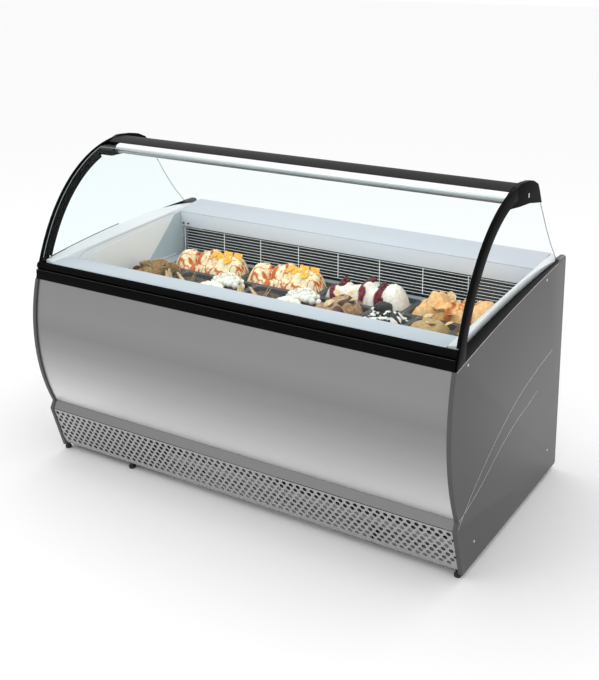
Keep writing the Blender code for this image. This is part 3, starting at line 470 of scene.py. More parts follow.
def screws(name, places, normal, radius, material):
    """Low domed screw heads with a dimple in the middle."""
    turn = Vector(normal).to_track_quat("Z", "Y").to_matrix().to_4x4()
    bm = bmesh.new()
    for centre in places:
        rings = []
        for share, height in SCREW_PROFILE:
            rings.append([bm.verts.new(turn @ Vector((x, y, height * radius * SCREW_RISE)) + Vector(centre))
                          for x, y in ring_points(SCREW_SIDES, radius * share)])
        skin(bm, rings)
        bm.faces.new(rings[-1])
    piece(name, bm, material)


# ---------------------------------------------------------------- cabinet details
BOTH_SIDES = ((-1, "left"), (1, "right"))
PLINTH_TURN = ((-0.388, 0.105), (-0.380, 0.078), (-0.370, 0.052), (-0.361, 0.034), (-0.350, 0.025),
               (-0.342, 0.0225))          # (y, z) where the sheet bends, down to its rolled foot
HOLE_ROWS = 8
HOLE_RADIUS = 0.0082
HOLE_PITCH_X = 0.0272
HOLE_PITCH_Z = 0.0184
HOLE_MARGIN = 0.0063   # plain edge above the first row
HOLE_SIDES = 12
HOLE_DEPTH = 0.0014
HOLE_END = 0.96 * HOLE_RADIUS
BAFFLE_X = (-0.826, -0.370)
BAFFLE_DEPTH = 0.0075


def perforated_plinth():
    """The plinth sheet with staggered rows of round holes and a plain strip along its foot."""
    low, high = node_box("plinth_grille")
    path = [Vector((low.y + 0.0002, high.z - 0.001))] + [Vector(p) for p in PLINTH_TURN]
    marks = [0.0]
    for a, b in zip(path, path[1:]):
        marks.append(marks[-1] + (b - a).length)
    half = high.x - 0.0005
    columns = int(round(2 * half / HOLE_PITCH_X))
    pitch_x = 2 * half / columns
    bm = bmesh.new()

    def spot_at(s, depth=0.0):
        """Place on the sheet's section at a length along it, or behind it by a depth."""
        k = max(i for i in range(len(path) - 1) if i == 0 or marks[i] <= s)
        step = path[k + 1] - path[k]
        inward = Vector((-step.y, step.x)).normalized()
        return path[k] + step * ((s - marks[k]) / step.length) + inward * depth

    def point(x, s, depth=0.0):
        spot = spot_at(s, depth)
        return bm.verts.new((x, spot.x, spot.y))

    def plain(x0, x1, s0, s1):
        bm.faces.new([point(x, s) for x, s in ((x0, s0), (x1, s0), (x1, s1), (x0, s1))])

    def drilled(x0, x1, s0, s1):
        cx, cs, wide, tall = (x0 + x1) / 2, (s0 + s1) / 2, (x1 - x0) / 2, (s1 - s0) / 2
        outer, inner, deep = [], [], []
        for c, s in ring_points(HOLE_SIDES, 1.0, 0.5):
            reach = min(wide / max(abs(c), 1e-6), tall / max(abs(s), 1e-6))
            rim = (outer, reach, 0.0), (inner, HOLE_RADIUS, 0.0), (deep, HOLE_END, HOLE_DEPTH)
            for ring, r, depth in rim:
                ring.append(point(cx + c * r, cs + s * r, depth))
        skin(bm, (outer, inner, deep))
        for x, s in ((x1, s1), (x0, s1), (x0, s0), (x1, s0)):
            corner = spot_at(s)
            near = sorted(outer, key=lambda v: abs(v.co.x - x) + (Vector((v.co.y, v.co.z)) - corner).length)
            bm.faces.new((near[0], near[1], point(x, s)))

    for row in range(HOLE_ROWS):
        staggered = row % 2
        s0 = HOLE_MARGIN + row * HOLE_PITCH_Z
        s1 = s0 + HOLE_PITCH_Z
        start = -half + (0.5 * pitch_x if staggered else 0.0)
        count = columns - staggered
        for column in range(count):
            x0 = start + column * pitch_x
            drilled(x0, x0 + pitch_x, s0, s1)
        if staggered:
            plain(-half, start, s0, s1)
            plain(start + count * pitch_x, half, s0, s1)
    last = HOLE_MARGIN + HOLE_ROWS * HOLE_PITCH_Z
    plain(-half, half, 0.0, HOLE_MARGIN)
    foot = [last] + [m for m in marks if m > last]
    for a, b in zip(foot, foot[1:]):
        plain(-half, half, a, b)
    bmesh.ops.remove_doubles(bm, verts=bm.verts, dist=0.00005)
    sheet = piece("perforated_plinth", bm, GRILLE_STEEL, angle=30)
    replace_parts(sheet, "plinth_grille")

    bm = bmesh.new()
    left, right = ([point(x, m, BAFFLE_DEPTH) for m in marks[:-2]] for x in BAFFLE_X)
    for k in range(len(left) - 1):
        bm.faces.new((left[k], right[k], right[k + 1], left[k + 1]))
    piece("plinth_baffle", bm, PLASTIC, smooth=False)


WIRE_RADIUS, UPRIGHT_RADIUS = 0.0012, 0.0019
WIRE_LEVELS = 9
UPRIGHTS, UPRIGHT_X, UPRIGHT_PITCH = 8, -0.5755, 0.1845


def wire_grille():
    """Welded wire outlet grille over the coil."""
    low, high = node_box("air_grille")
    y, half = (low.y + high.y) / 2, high.x - 0.002
    bm = bmesh.new()
    for i in range(WIRE_LEVELS):
        z = low.z + 0.003 + (high.z - low.z - 0.006) * i / (WIRE_LEVELS - 1)
        tube(bm, [(-half, y - 0.001, z), (half, y - 0.001, z)], WIRE_RADIUS)
    for x in [0.002 - half] + [UPRIGHT_X + UPRIGHT_PITCH * k for k in range(UPRIGHTS)] + [half - 0.002]:
        tube(bm, [(x, y + 0.001, low.z + 0.001), (x, y + 0.001, high.z - 0.001)], UPRIGHT_RADIUS)
    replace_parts(piece("wire_grille", bm, WIRE), "air_grille")


FIN_COUNT, FIN_SPAN, FIN_THICK = 190, 1.540, 0.0008
FIN_Y, FIN_Z = (0.3620, 0.3735), (0.610, 0.739)
COIL_TUBES, COIL_TUBE_Z, COIL_TUBE_PITCH = 5, 0.625, 0.025


def coil_fins():
    """Comb of thin fins on the coil's front face, with its tube rows showing between them."""
    bm = bmesh.new()
    for i in range(FIN_COUNT):
        x = -FIN_SPAN / 2 + FIN_SPAN * i / (FIN_COUNT - 1)
        block(bm, (x - FIN_THICK / 2, FIN_Y[0], FIN_Z[0]), (x + FIN_THICK / 2, FIN_Y[1], FIN_Z[1]))
    for i in range(COIL_TUBES):
        z = COIL_TUBE_Z + COIL_TUBE_PITCH * i
        tube(bm, [(-0.772, 0.3685, z), (0.772, 0.3685, z)], 0.0035)
    piece("coil_fins", bm, FINS, smooth=False)


LONG_GROOVE = ((-0.412, 0.202), (-0.330, 0.262), (-0.250, 0.310), (-0.170, 0.353), (-0.090, 0.390),
               (0.058, 0.446), (0.230, 0.484), (0.402, 0.508))
SHORT_GROOVE = ((-0.406, 0.226), (-0.310, 0.248), (-0.214, 0.277), (-0.083, 0.328), (0.060, 0.368),
                (0.190, 0.388), (0.259, 0.403))
# each groove is a bright line, the painted highlight on its edge, over a dark line, the painted shade in the
# groove
GROOVE_LINES = (("bright", GROOVE_HIGHLIGHT, 0.0, 0.0015), ("dark", GROOVE_SHADE, 0.0012, 0.0007))  # drop and width
PANEL_SCREWS = ((0.306, 0.798), (-0.379, 0.723), (0.405, 0.115), (-0.279, 0.096))
PANEL_REAR_RIM = ((0.4245, 0.8425), (0.4870, 0.8425), (0.4990, 0.8385), (0.5055, 0.8285))
FOOT_PROFILE = ((0.0115, 0.0), (0.0125, 0.0025), (0.0125, 0.008), (0.0085, 0.011), (0.0085, 0.0198))
FOOT_SIDES = 20
FEET = {"left": ((-0.838, -0.342), (-0.800, 0.440), (-0.515, -0.338)),
        "right": ((0.820, -0.342), (0.800, 0.440))}


def panel_rim(y):
    """Height of an end panel's crowned upper edge."""
    return 0.727 + 0.1147 * (y + 0.464) + 0.0557 * (y + 0.464) * (0.425 - y)


def levelling_feet(word):
    """Turned feet under one end of the cabinet."""
    bm = bmesh.new()
    for x, y in FEET[word]:
        rings = []
        for radius, z in FOOT_PROFILE:
            rings.append([bm.verts.new((x + c, y + s, z)) for c, s in ring_points(FOOT_SIDES, radius)])
        skin(bm, rings)
        bm.faces.new(rings[0])
        bm.faces.new(rings[-1])
    piece(f"levelling_feet_{word}", bm, RUBBER)


def end_panel_details():
    """Swept grooves drawn as painted highlight and painted shade lines, screws and a painted highlight strip
    on the upper edge of both end panels, and the feet below them.
    """
    face = node_box("end_panel_right")[1].x
    grooves = (("long", spline(LONG_GROOVE)), ("short", spline(SHORT_GROOVE)))
    rim = [(y, panel_rim(y)) for y in (-0.4615 + 0.885 * i / 12 for i in range(13))] + list(PANEL_REAR_RIM)
    rim = [(y, z - 0.0008) for y, z in rim]
    for side, word in BOTH_SIDES:
        for length, path in grooves:
            for tag, material, drop, width in GROOVE_LINES:
                ribbon(f"groove_{length}_{word}_{tag}", [(y, z - drop) for y, z in path], width,
                       side * (face + 0.0004), material)
        screws(f"panel_screws_{word}", [(side * face, y, z) for y, z in PANEL_SCREWS], (side, 0, 0),
               SCREW_RADIUS, SCREW)
        # painted highlight along the panel's rounded upper edge
        ribbon(f"panel_edge_highlight_{word}", rim, 0.0014, side * (face + 0.0003), EDGE)
        levelling_feet(word)


def counter_details():
    """Screws, a painted shade line along the fold, and two open holes drawn as black plugs of painted shade,
    on the inner face of the server's counter.
    """
    screws("counter_screws", [(x, 0.3386, 0.8145) for x in (-0.683, -0.400, -0.117, 0.166, 0.449, 0.734)],
           (0, -1, 0.2), 0.0040, SCREW_WHITE)
    # painted shade line along the counter's fold
    rods("counter_fold", [[(-0.792, 0.3378, 0.8196), (0.792, 0.3378, 0.8196)]], 0.0008, FOLD_SHADE)
    # the open holes are black plugs: their black is the painted shade inside the holes
    rods("counter_holes", [[(x, 0.3465, 0.7680), (x, 0.3400, 0.7675)] for x in (-0.780, -0.755)], 0.0034,
         PLASTIC, count=12)


LINER_FACE = 0.7950
LINER_FOLD = ((-0.300, 0.700), (-0.292, 0.752), (-0.262, 0.781), (-0.206, 0.791), (-0.103, 0.7985),
              (0.020, 0.806), (0.141, 0.813), (0.300, 0.8215))
LINER_INLAY = ((-0.244, 0.742), (-0.238, 0.757), (-0.222, 0.763), (-0.165, 0.7705), (0.14, 0.796),
               (0.278, 0.806), (0.300, 0.797), (0.306, 0.775), (0.306, 0.636), (-0.244, 0.636))
LINER_SHADE_PATCH = ((0.3045, 0.8150), (0.3500, 0.8150), (0.3500, 0.6420), (0.1150, 0.6420))


def liner_details():
    """Painted shade line along the fold, inlaid panel, and a patch of painted shade at the rear of each side
    wall of the well.
    """
    for side, word in BOTH_SIDES:
        x = side * LINER_FACE
        # painted shade line along the wall's fold
        ribbon(f"liner_fold_{word}", spline(LINER_FOLD, 6), 0.0016, x - side * 0.0006, FOLD_SHADE)
        thin_plate(f"liner_inlay_{word}", LINER_INLAY, x - side * 0.0003, -side * 0.0012, PANEL_WHITE)
        # patch of painted shade on the rear of the wall
        thin_plate(f"liner_shade_patch_{word}", LINER_SHADE_PATCH, x - side * 0.0016, -side * 0.0010, WALL_SHADE)


def glass_edges():
    """Polished rear edge of each side pane, and the rubber bead at the foot of the left one."""
    rear = spline(((0.2245, 1.0890), (0.2565, 1.0460), (0.2950, 0.9900), (0.3510, 0.9190), (0.3965, 0.8700),
                   (0.4180, 0.8490)), 5)
    foot = [(-0.8312, y, 0.8381 + 0.068 * y - 0.098 * y * y) for y in
            (-0.392 + 0.38 * i / 12 for i in range(13))]
    for side, word in BOTH_SIDES:
        rods(f"pane_edge_{word}", [[(side * 0.8353, y, z) for y, z in rear]], 0.0014, PANE_EDGE)
    rods("pane_bead_left", [foot], 0.0016, RUBBER)


PANE_CURVE = ((-0.4600, 0.7270), (-0.3530, 1.1150), (-0.1010, 1.1950), (0.0400, 1.1955))  # cubic, (y, z)
PANE_SIDE = 0.8302


def front_pane_edges():
    """Side and top edges of the curved pane, pale with a painted glint along the polished edge; they tilt
    with it.
    """
    points = []
    for i in range(25):
        t = 0.07 + 0.70 * i / 24
        u = 1 - t
        shares = (u ** 3, 3 * u * u * t, 3 * u * t * t, t ** 3)
        y, z = (sum(share * p[axis] for share, p in zip(shares, PANE_CURVE)) for axis in (0, 1))
        points.append((y + 0.0035, z - 0.0020))
    points = [(y, z) for y, z in points if y < -0.088 and z > 0.800]     # only what stands free
    runs = [[(x, y, z) for y, z in points] for x in (-PANE_SIDE, PANE_SIDE)]
    runs.append([(x, *points[-1]) for x in (-0.8300, 0.8300)])
    # the pane's real edges, drawn pale as a painted glint
    rods("front_pane_edges", runs, 0.0007, PANE_EDGE_GLINT, "front_glass", 6)


def trim_details():
    """Grey line between the two black mouldings, a painted highlight in the gap between them, and the bright
    inlay in each cap.
    """
    # painted highlight in the gap between the mouldings
    rods("strip_gap_highlight", [[(-0.8375, -0.4600, 0.7622), (0.8375, -0.4600, 0.7622)]], 0.0008, GAP_HIGHLIGHT)
    for side, word in BOTH_SIDES:
        flat_block(f"cap_inlay_{word}", (side * 0.8448, 0.0765, 1.1385), (side * 0.8456, 0.0850, 1.1535),
                   SCREW)


def rear_details():
    """Screws of the back panel, and the thermostat's window and keys."""
    screws("rear_screws", [(x, 0.5006, z) for x in (-0.80, -0.27, 0.27, 0.80) for z in (0.055, 0.780)],
           (0, 1, 0), SCREW_RADIUS, SCREW)
    flat_block("controller_window", (0.560, 0.5063, 0.708), (0.645, 0.5072, 0.742), BLACK)
    keys = [[(0.665, y, 0.706 + 0.0125 * i) for y in (0.5063, 0.5074)] for i in range(4)]
    rods("controller_keys", keys, 0.0042, GREY, count=16)


# ---------------------------------------------------------------- ice cream
BLEND = 190.0      # how sharply neighbouring lobes meet
SPACING = 0.0036   # grid step of an ice cream surface
FILL = -0.014      # level of the filled base, from the pan's rim
SEAT = -0.020      # level where a heap's edge meets the pan's wall
WALL = 0.011       # from a pan's rim edge to the ice cream


def pan_spot(name):
    """Middle of a pan at the height of its rim."""
    low, high = node_box(name)
    return Vector(((low.x + high.x) / 2, (low.y + high.y) / 2, high.z))


def lobe_height(lobe, x, y, seed):
    """Height of one lobe at a place, or nothing outside it."""
    cx, cy, rx, ry, tall, ridges, twist, cut, turn = lobe
    ox, oy = x - cx, y - cy
    dx = (ox * math.cos(turn) + oy * math.sin(turn)) / rx
    dy = (oy * math.cos(turn) - ox * math.sin(turn)) / ry
    r2 = dx * dx + dy * dy
    if r2 >= 1:
        return None
    r = math.sqrt(r2)
    if ridges:
        wave = math.sin(ridges * math.atan2(dy, dx) + twist * r + seed)
    else:
        wave = math.sin(twist * dx + 1.5 * dy)
    return FILL + tall * math.sqrt(1 - r2) + cut * wave * min(1, 3 * r) * (1 - r2)


def heap(pan, lobes, material, rough=0.004, sauce=None, seed=0):
    """One mass of ice cream in a pan: rounded lobes with wound ridges over a filled base.

    Each lobe is (x, y, rx, ry, height, ridges, twist, depth, turn), in metres from the pan's middle.
    """
    low, high = node_box(pan)
    spot, width, depth = pan_spot(pan), high.x - low.x, high.y - low.y
    half_w, half_d = width / 2 - WALL, depth / 2 - WALL
    bm = bmesh.new()
    layer = bm.verts.layers.float.new("sauce")
    nx, ny = int(width / SPACING), int(depth / SPACING)
    grid = []
    for i in range(nx + 1):
        column = []
        for j in range(ny + 1):
            u, v = -1 + 2 * i / nx, -1 + 2 * j / ny
            x, y = u * half_w, v * half_d
            edge = max(0.0, 1 - max(abs(u), abs(v)) ** 10)
            total = math.exp(BLEND * (FILL + 0.010 * (1 - u * u) * (1 - v * v)))
            for lobe in lobes:
                lift = lobe_height(lobe, x, y, seed)
                if lift is not None:
                    total += math.exp(BLEND * lift)
            top = math.log(total) / BLEND
            top += noise.fractal(Vector((x * 38, y * 38, seed * 3.1)), 1.0, 2.1, 4) * rough
            vert = bm.verts.new((spot.x + x, spot.y + y, spot.z + SEAT + (top - SEAT) * edge))
            vert[layer] = max(0.0, min(1.0, sauce(x, y, top - FILL, seed))) if sauce else 0.0
            column.append(vert)
        grid.append(column)
    for i in range(nx):
        for j in range(ny):
            bm.faces.new((grid[i][j], grid[i + 1][j], grid[i + 1][j + 1], grid[i][j + 1]))
    return piece(f"ice_cream_{pan}", bm, material, pan, angle=180)


def on_top(mass, pan, x, y, lift=0.0):
    """Place on a heap, by its nearest vertex; x and y are from the pan's middle."""
    spot = pan_spot(pan)
    x, y = spot.x + x, spot.y + y
    near = min(mass.data.vertices, key=lambda v: (v.co.x - x) ** 2 + (v.co.y - y - SHIFT.y) ** 2)
    return Vector((x, y, near.co.z + lift))


def streams(seed_shift, scale, limit, soft=0.08):
    """Mask of a sauce that runs through the whole mass."""
    def mask(x, y, height, seed):
        value = noise.noise(Vector((x * scale[0], y * scale[1], seed_shift + seed))) * 0.5 + 0.5
        return (value - limit) / soft
    return mask


def blob(bm, centre, radius, squeeze=1.0, lump=0.0, level=2, seed=0.0):
    """A lumpy ball, flattened by squeeze."""
    for v in bmesh.ops.create_icosphere(bm, subdivisions=level, radius=1.0)["verts"]:
        out = v.co.normalized()
        size = radius * (1 + lump * noise.noise(out * 2.2 + Vector((seed, 0, 0))))
        v.co = centre + Vector((out.x * size, out.y * size, out.z * size * squeeze))


SLICE_RADIUS, SLICE_THICK, SLICE_ARC, SLICE_STEPS = 0.0185, 0.005, math.pi * 1.25, 22


def slice_disc(bm, centre, normal, spin):
    """A fruit slice: a thin part of a disc."""
    turn = Vector(normal).to_track_quat("Z", "Y").to_matrix().to_4x4() @ Matrix.Rotation(spin, 4, "Z")
    top, low = [], []
    for k in range(SLICE_STEPS + 1):
        a = SLICE_ARC * k / SLICE_STEPS
        x, y = SLICE_RADIUS * math.cos(a), SLICE_RADIUS * math.sin(a)
        for ring, z in ((top, SLICE_THICK / 2), (low, -SLICE_THICK / 2)):
            ring.append(bm.verts.new(turn @ Vector((x, y, z)) + centre))
    bm.faces.new(top)
    bm.faces.new(low[::-1])
    for k in range(SLICE_STEPS + 1):
        j = (k + 1) % (SLICE_STEPS + 1)
        bm.faces.new((top[k], low[k], low[j], top[j]))


# outlines of a chip: (along, across) for a length of 1
LEAF = ((0, -0.12), (0.25, -0.36), (0.6, -0.40), (0.88, -0.20), (1.0, 0.0), (0.86, 0.24), (0.55, 0.42),
        (0.2, 0.34), (0, 0.12))
SCALLOP = ((0, -0.50), (0.70, -0.54), (0.86, -0.40), (0.84, -0.26), (0.98, -0.12), (0.94, 0.06), (1.0, 0.22),
           (0.86, 0.36), (0.74, 0.54), (0, 0.50))
WEDGE = ((0, -0.30), (1.0, -0.04), (1.0, 0.04), (0, 0.30))
CHIP_HALF = 0.0006     # half of a chip's thickness


def wafer(bm, centre, direction, size, tilt, curl=0.25, outline=LEAF):
    """A thin curled chip standing in the ice cream; it leans along its direction."""
    ahead = Vector((math.cos(direction), math.sin(direction), 0))
    across = Vector((-ahead.y, ahead.x, 0))
    along = ahead * math.cos(tilt) + Vector((0, 0, math.sin(tilt)))
    normal = along.cross(across)
    front, back = [], []
    for a, b in outline:
        bend = normal * curl * size * (b * b * 2 - a * 0.2)
        spot = centre + along * a * size + across * b * size + bend
        front.append(bm.verts.new(spot + normal * CHIP_HALF))
        back.append(bm.verts.new(spot - normal * CHIP_HALF))
    n = len(outline)
    for k in range(1, n - 1):
        bm.faces.new((front[0], front[k], front[k + 1]))
        bm.faces.new((back[0], back[k + 1], back[k]))
    for k in range(n):
        j = (k + 1) % n
        bm.faces.new((front[k], back[k], back[j], front[j]))


IVORY = scoop("cream_ice", (0.92, 0.83, 0.58), (0.60, 0.118, 0.002), fleck=(0.93, 0.72, 0.36))
CHERRY_ICE = scoop("cherry_ice", (0.92, 0.87, 0.78), (0.16, 0.0, 0.012))
PEACH = scoop("peach_ice", (0.84, 0.46, 0.16), (0.52, 0.15, 0.02), 0.55, (0.90, 0.64, 0.36))
TAN = scoop("tan_ice", (0.50, 0.34, 0.15), (0.26, 0.12, 0.04), 0.5)
COCOA = scoop("cocoa_ice", (0.050, 0.028, 0.018), (0.014, 0.008, 0.006), 0.4, (0.12, 0.07, 0.04))
BROWN = scoop("brown_ice", (0.34, 0.17, 0.075), (0.07, 0.024, 0.010), 0.4, (0.62, 0.46, 0.26))
COOKIE = scoop("cookie_ice", (0.86, 0.84, 0.80), (0.012, 0.010, 0.010), 0.4)
FRUIT = grain("orange_slice", (0.95, 0.42, 0.03), 0.25, 0.0, 120, 3.0, 0.4, distance=0.001,
              shade=((0.90, 0.30, 0.01), (0.98, 0.60, 0.07)), Subsurface_Weight=0.2)
CHERRY = principled("cherry_skin", (0.085, 0.0, 0.006), 0.14, Coat_Weight=0.2)
CHIP = grain("wafer_chip", (0.62, 0.43, 0.20), 0.6, 0.0, 150, 4.0, 0.4, distance=0.0008,
             shade=((0.48, 0.30, 0.11), (0.90, 0.72, 0.44)))
DARK_CHIP = grain("toasted_chip", (0.22, 0.10, 0.04), 0.5, 0.0, 150, 4.0, 0.4, distance=0.0008,
                  shade=((0.06, 0.025, 0.012), (0.36, 0.19, 0.08)))
WHIP = grain("whipped_white", (0.97, 0.92, 0.82), 0.5, 0.0, 220, 3.0, 0.4, distance=0.001,
             Subsurface_Weight=0.15)
FLAKE = principled("orange_flake", (0.72, 0.20, 0.03), 0.35)
COOKIE_CHIP = principled("cookie_piece", (0.012, 0.010, 0.009), 0.45)


def chips(name, pan, mass, spots, material, size, outline=LEAF, curl=0.25):
    """Chips pushed into a heap; each spot is (x, y, direction, tilt, growth) from the pan's middle."""
    bm = bmesh.new()
    for x, y, direction, tilt, grow in spots:
        wafer(bm, on_top(mass, pan, x, y, -0.004), direction, size * grow, tilt, curl, outline)
    topping(name, pan, bm, material, angle=35)


def topping(name, pan, bm, material, angle=180):
    """A piece that lies on a pan's ice cream and travels with the pan."""
    piece(f"{name}_{pan}", bm, material, pan, angle=angle)


CARAMEL_LOBES = (
    (-0.120, 0.004, 0.054, 0.066, 0.076, 1, 8.0, 0.003, 0.0),
    (-0.046, 0.014, 0.032, 0.064, 0.072, 0, 8.0, 0.004, 0.5),
    (-0.004, 0.018, 0.036, 0.060, 0.085, 0, 9.0, 0.004, -0.3),
    (0.058, 0.016, 0.046, 0.056, 0.072, 3, 8.0, 0.004, 0.0),
    (0.112, 0.014, 0.056, 0.058, 0.078, 1, 9.0, 0.002, 0.3),
    (0.036, -0.042, 0.110, 0.036, 0.036, 0, 8.0, 0.002, 0.05),
    (-0.096, -0.046, 0.056, 0.032, 0.030, 3, 5.0, 0.002, 0.0),
)
FRUIT_PLACES = (          # x, y, spin, tilt
    (0.014, 0.000, 0.3, 0.8), (0.030, 0.024, 1.2, 0.7), (0.060, 0.040, 2.0, 0.6), (0.086, 0.012, 0.8, 0.9),
    (0.108, 0.040, 2.6, 0.6), (0.126, 0.016, 1.6, 0.8), (0.052, -0.006, 0.0, 0.9), (0.096, -0.018, 3.2, 0.9),
)


def caramel_pan(pan):
    """Ivory scoops with caramel veins and orange slices."""
    def sauce(x, y, height, seed):
        vein = abs(noise.noise(Vector((x * 24 + 2, y * 34, seed))))
        fine = abs(noise.noise(Vector((x * 48, y * 66 + 7, seed))))
        pool = 0.0
        if -0.078 < x + 0.25 * y < -0.030:
            pool = 0.090
        elif x > 0.138 or y < -0.052 and x > 0.02:
            pool = 0.060
        return max((0.056 + pool - vein) / 0.030, (0.030 + pool - fine) / 0.020)

    mass = heap(pan, CARAMEL_LOBES, IVORY, 0.0045, sauce, 1.0)
    bm = bmesh.new()
    for x, y, spin, tilt in FRUIT_PLACES:
        normal = (math.sin(spin) * tilt, -0.9 * tilt, 1.0)
        slice_disc(bm, on_top(mass, pan, x, y, 0.004), normal, spin)
    topping("fruit_slices", pan, bm, FRUIT, angle=35)


CHERRY_LOBES = (
    (-0.134, -0.022, 0.036, 0.046, 0.058, 0, 8.0, 0.003, 0.5),
    (-0.100, 0.014, 0.044, 0.058, 0.056, 0, 8.0, 0.003, 0.2),
    (-0.040, -0.006, 0.034, 0.062, 0.060, 0, 9.0, 0.004, -0.4),
    (0.004, 0.006, 0.042, 0.066, 0.080, 0, 9.0, 0.004, -0.3),
    (0.052, -0.010, 0.034, 0.062, 0.066, 0, 8.0, 0.003, -0.2),
    (0.110, 0.000, 0.058, 0.068, 0.086, 0, 22.0, 0.0012, 0.4),
)
CHERRY_CLUSTERS = ((-0.112, 0.020), (0.000, 0.026), (0.060, 0.010))
CHERRY_OFFSETS = ((-0.010, 0.0, 0.003), (0.010, 0.002, 0.003), (0.0, -0.012, 0.002), (0.001, 0.004, 0.013),
                  (-0.006, -0.018, -0.002), (0.008, -0.016, -0.002))
LOOSE_CHERRIES = ((0.078, -0.062), (0.086, -0.056), (0.082, -0.048))


def cherry_pan(pan):
    """White scoops with cherries and their syrup."""
    def sauce(x, y, height, seed):
        best = 0.0
        for cx, cy in CHERRY_CLUSTERS:
            sway = 0.008 * math.sin(y * 90 + cx * 40)
            across = abs(x - cx - sway - 0.35 * (cy - y) * (0.4 if cx > 0.03 else -0.5))
            width = 0.013 + 0.010 * noise.noise(Vector((x * 40, y * 40, seed)))
            if y < cy + 0.018:
                best = max(best, (width - across) / 0.003)
        return best if height > 0.008 else 0.6

    mass = heap(pan, CHERRY_LOBES, CHERRY_ICE, 0.003, sauce, 3)
    bm = bmesh.new()
    for cx, cy in CHERRY_CLUSTERS:
        for dx, dy, lift in CHERRY_OFFSETS:
            blob(bm, on_top(mass, pan, cx + dx, cy + dy, lift), 0.0110, 0.95, 0.08, 2, cx)
    for x, y in LOOSE_CHERRIES:
        blob(bm, on_top(mass, pan, x, y, 0.002), 0.0085, 0.95, 0.08, 2, 1.0)
    topping("cherries", pan, bm, CHERRY)


PEACH_LOBES = [(*size, 0, 0.0, 0.0, 0.0) for size in (
    (-0.134, -0.004, 0.044, 0.068, 0.050), (-0.082, 0.006, 0.052, 0.066, 0.086),
    (-0.030, -0.020, 0.052, 0.052, 0.056), (0.020, 0.000, 0.060, 0.068, 0.060),
    (0.106, 0.000, 0.062, 0.070, 0.082))]
PEACH_CHIPS = (
    (-0.046, 0.030, 1.9, 0.9, 1.4), (-0.030, 0.020, 1.2, 0.7, 1.2), (0.010, 0.046, 1.5, 1.2, 1.0),
    (0.024, 0.018, 0.6, 0.8, 0.9), (-0.060, -0.052, 4.3, 0.9, 1.1), (-0.044, -0.056, 5.2, 0.8, 1.0),
    (-0.012, -0.058, 5.6, 0.5, 1.1), (0.036, -0.044, 5.9, 0.4, 1.0), (0.070, 0.030, 2.0, 0.8, 0.9),
)


def peach_pan(pan):
    """Coarse orange scoops with chips and flakes."""
    mass = heap(pan, PEACH_LOBES, PEACH, 0.011, streams(5, (26, 26), 0.66), 5)
    chips("wafers", pan, mass, PEACH_CHIPS, CHIP, 0.036)
    rng = random.Random(11)
    bm = bmesh.new()
    for _ in range(60):
        x, y = 0.006 + rng.uniform(-0.036, 0.048), rng.uniform(-0.048, 0.050)
        wafer(bm, on_top(mass, pan, x, y), rng.uniform(0, 6.3), 0.011, rng.uniform(0.1, 0.9))
    topping("flakes", pan, bm, FLAKE, angle=35)


def long_mound(pan, material, seed, height, rough, mask, ridges=3, cut=0.003):
    """Three scoops one behind the other, for a pan that lies across the counter."""
    lobes = [
        (0.0, 0.092, 0.072, 0.080, height, ridges, 9.0, cut, 0.0),
        (0.0, -0.012, 0.074, 0.090, height, 2, 8.0, cut, 0.4),
        (0.0, -0.112, 0.072, 0.068, 0.9 * height, ridges, 7.0, cut, 0.0),
    ]
    return heap(pan, lobes, material, rough, mask, seed)


def wafer_bed(pan):
    """Layered wafers standing along a whole pan."""
    mass = long_mound(pan, COCOA, 31, 0.026, 0.005, streams(2, (20, 60), 0.62))
    rng = random.Random(7)
    big, small = [], []
    for i in range(15):
        y = 0.150 - 0.021 * i
        for x in (-0.044, 0.0, 0.044):
            where = (x + rng.uniform(-0.010, 0.010), y + rng.uniform(-0.006, 0.006))
            row = big if rng.random() < 0.76 else small
            direction, tilt = -1.2 + rng.uniform(-0.7, 0.7), 1.25 + rng.uniform(-0.25, 0.2)
            row.append((*where, direction, tilt, rng.uniform(0.85, 1.25)))
    chips("wafers", pan, mass, big, CHIP, 0.050, SCALLOP, 0.10)
    chips("toasted", pan, mass, small, DARK_CHIP, 0.044)


WEDGE_PLACES = (
    (-0.060, 0.030, 2.2, 1.30, 1.0), (-0.052, 0.012, 2.5, 1.15, 0.9), (0.022, 0.050, 0.35, 1.10, 1.0),
    (0.034, 0.030, 0.45, 1.00, 1.0), (-0.010, 0.060, 3.4, 0.90, 0.8), (0.000, 0.046, 3.0, 0.90, 0.8),
    (-0.040, -0.060, 1.0, 0.9, 1.0), (0.030, -0.080, 2.4, 0.9, 1.0),
)


def wedge_pan(pan):
    """Dark ice cream, scraped low, with a few wedge wafers standing in it."""
    mass = long_mound(pan, COCOA, 21, 0.014, 0.004, streams(2, (20, 60), 0.55), 0, 0.001)
    chips("wedges", pan, mass, WEDGE_PLACES, CHIP, 0.064, WEDGE, 0.05)


WHIP_CROWNS = ((0.096, 0.050), (-0.020, 0.046), (-0.110, 0.044))     # y and height of each
WHIP_RX, WHIP_RY = 0.062, 0.060


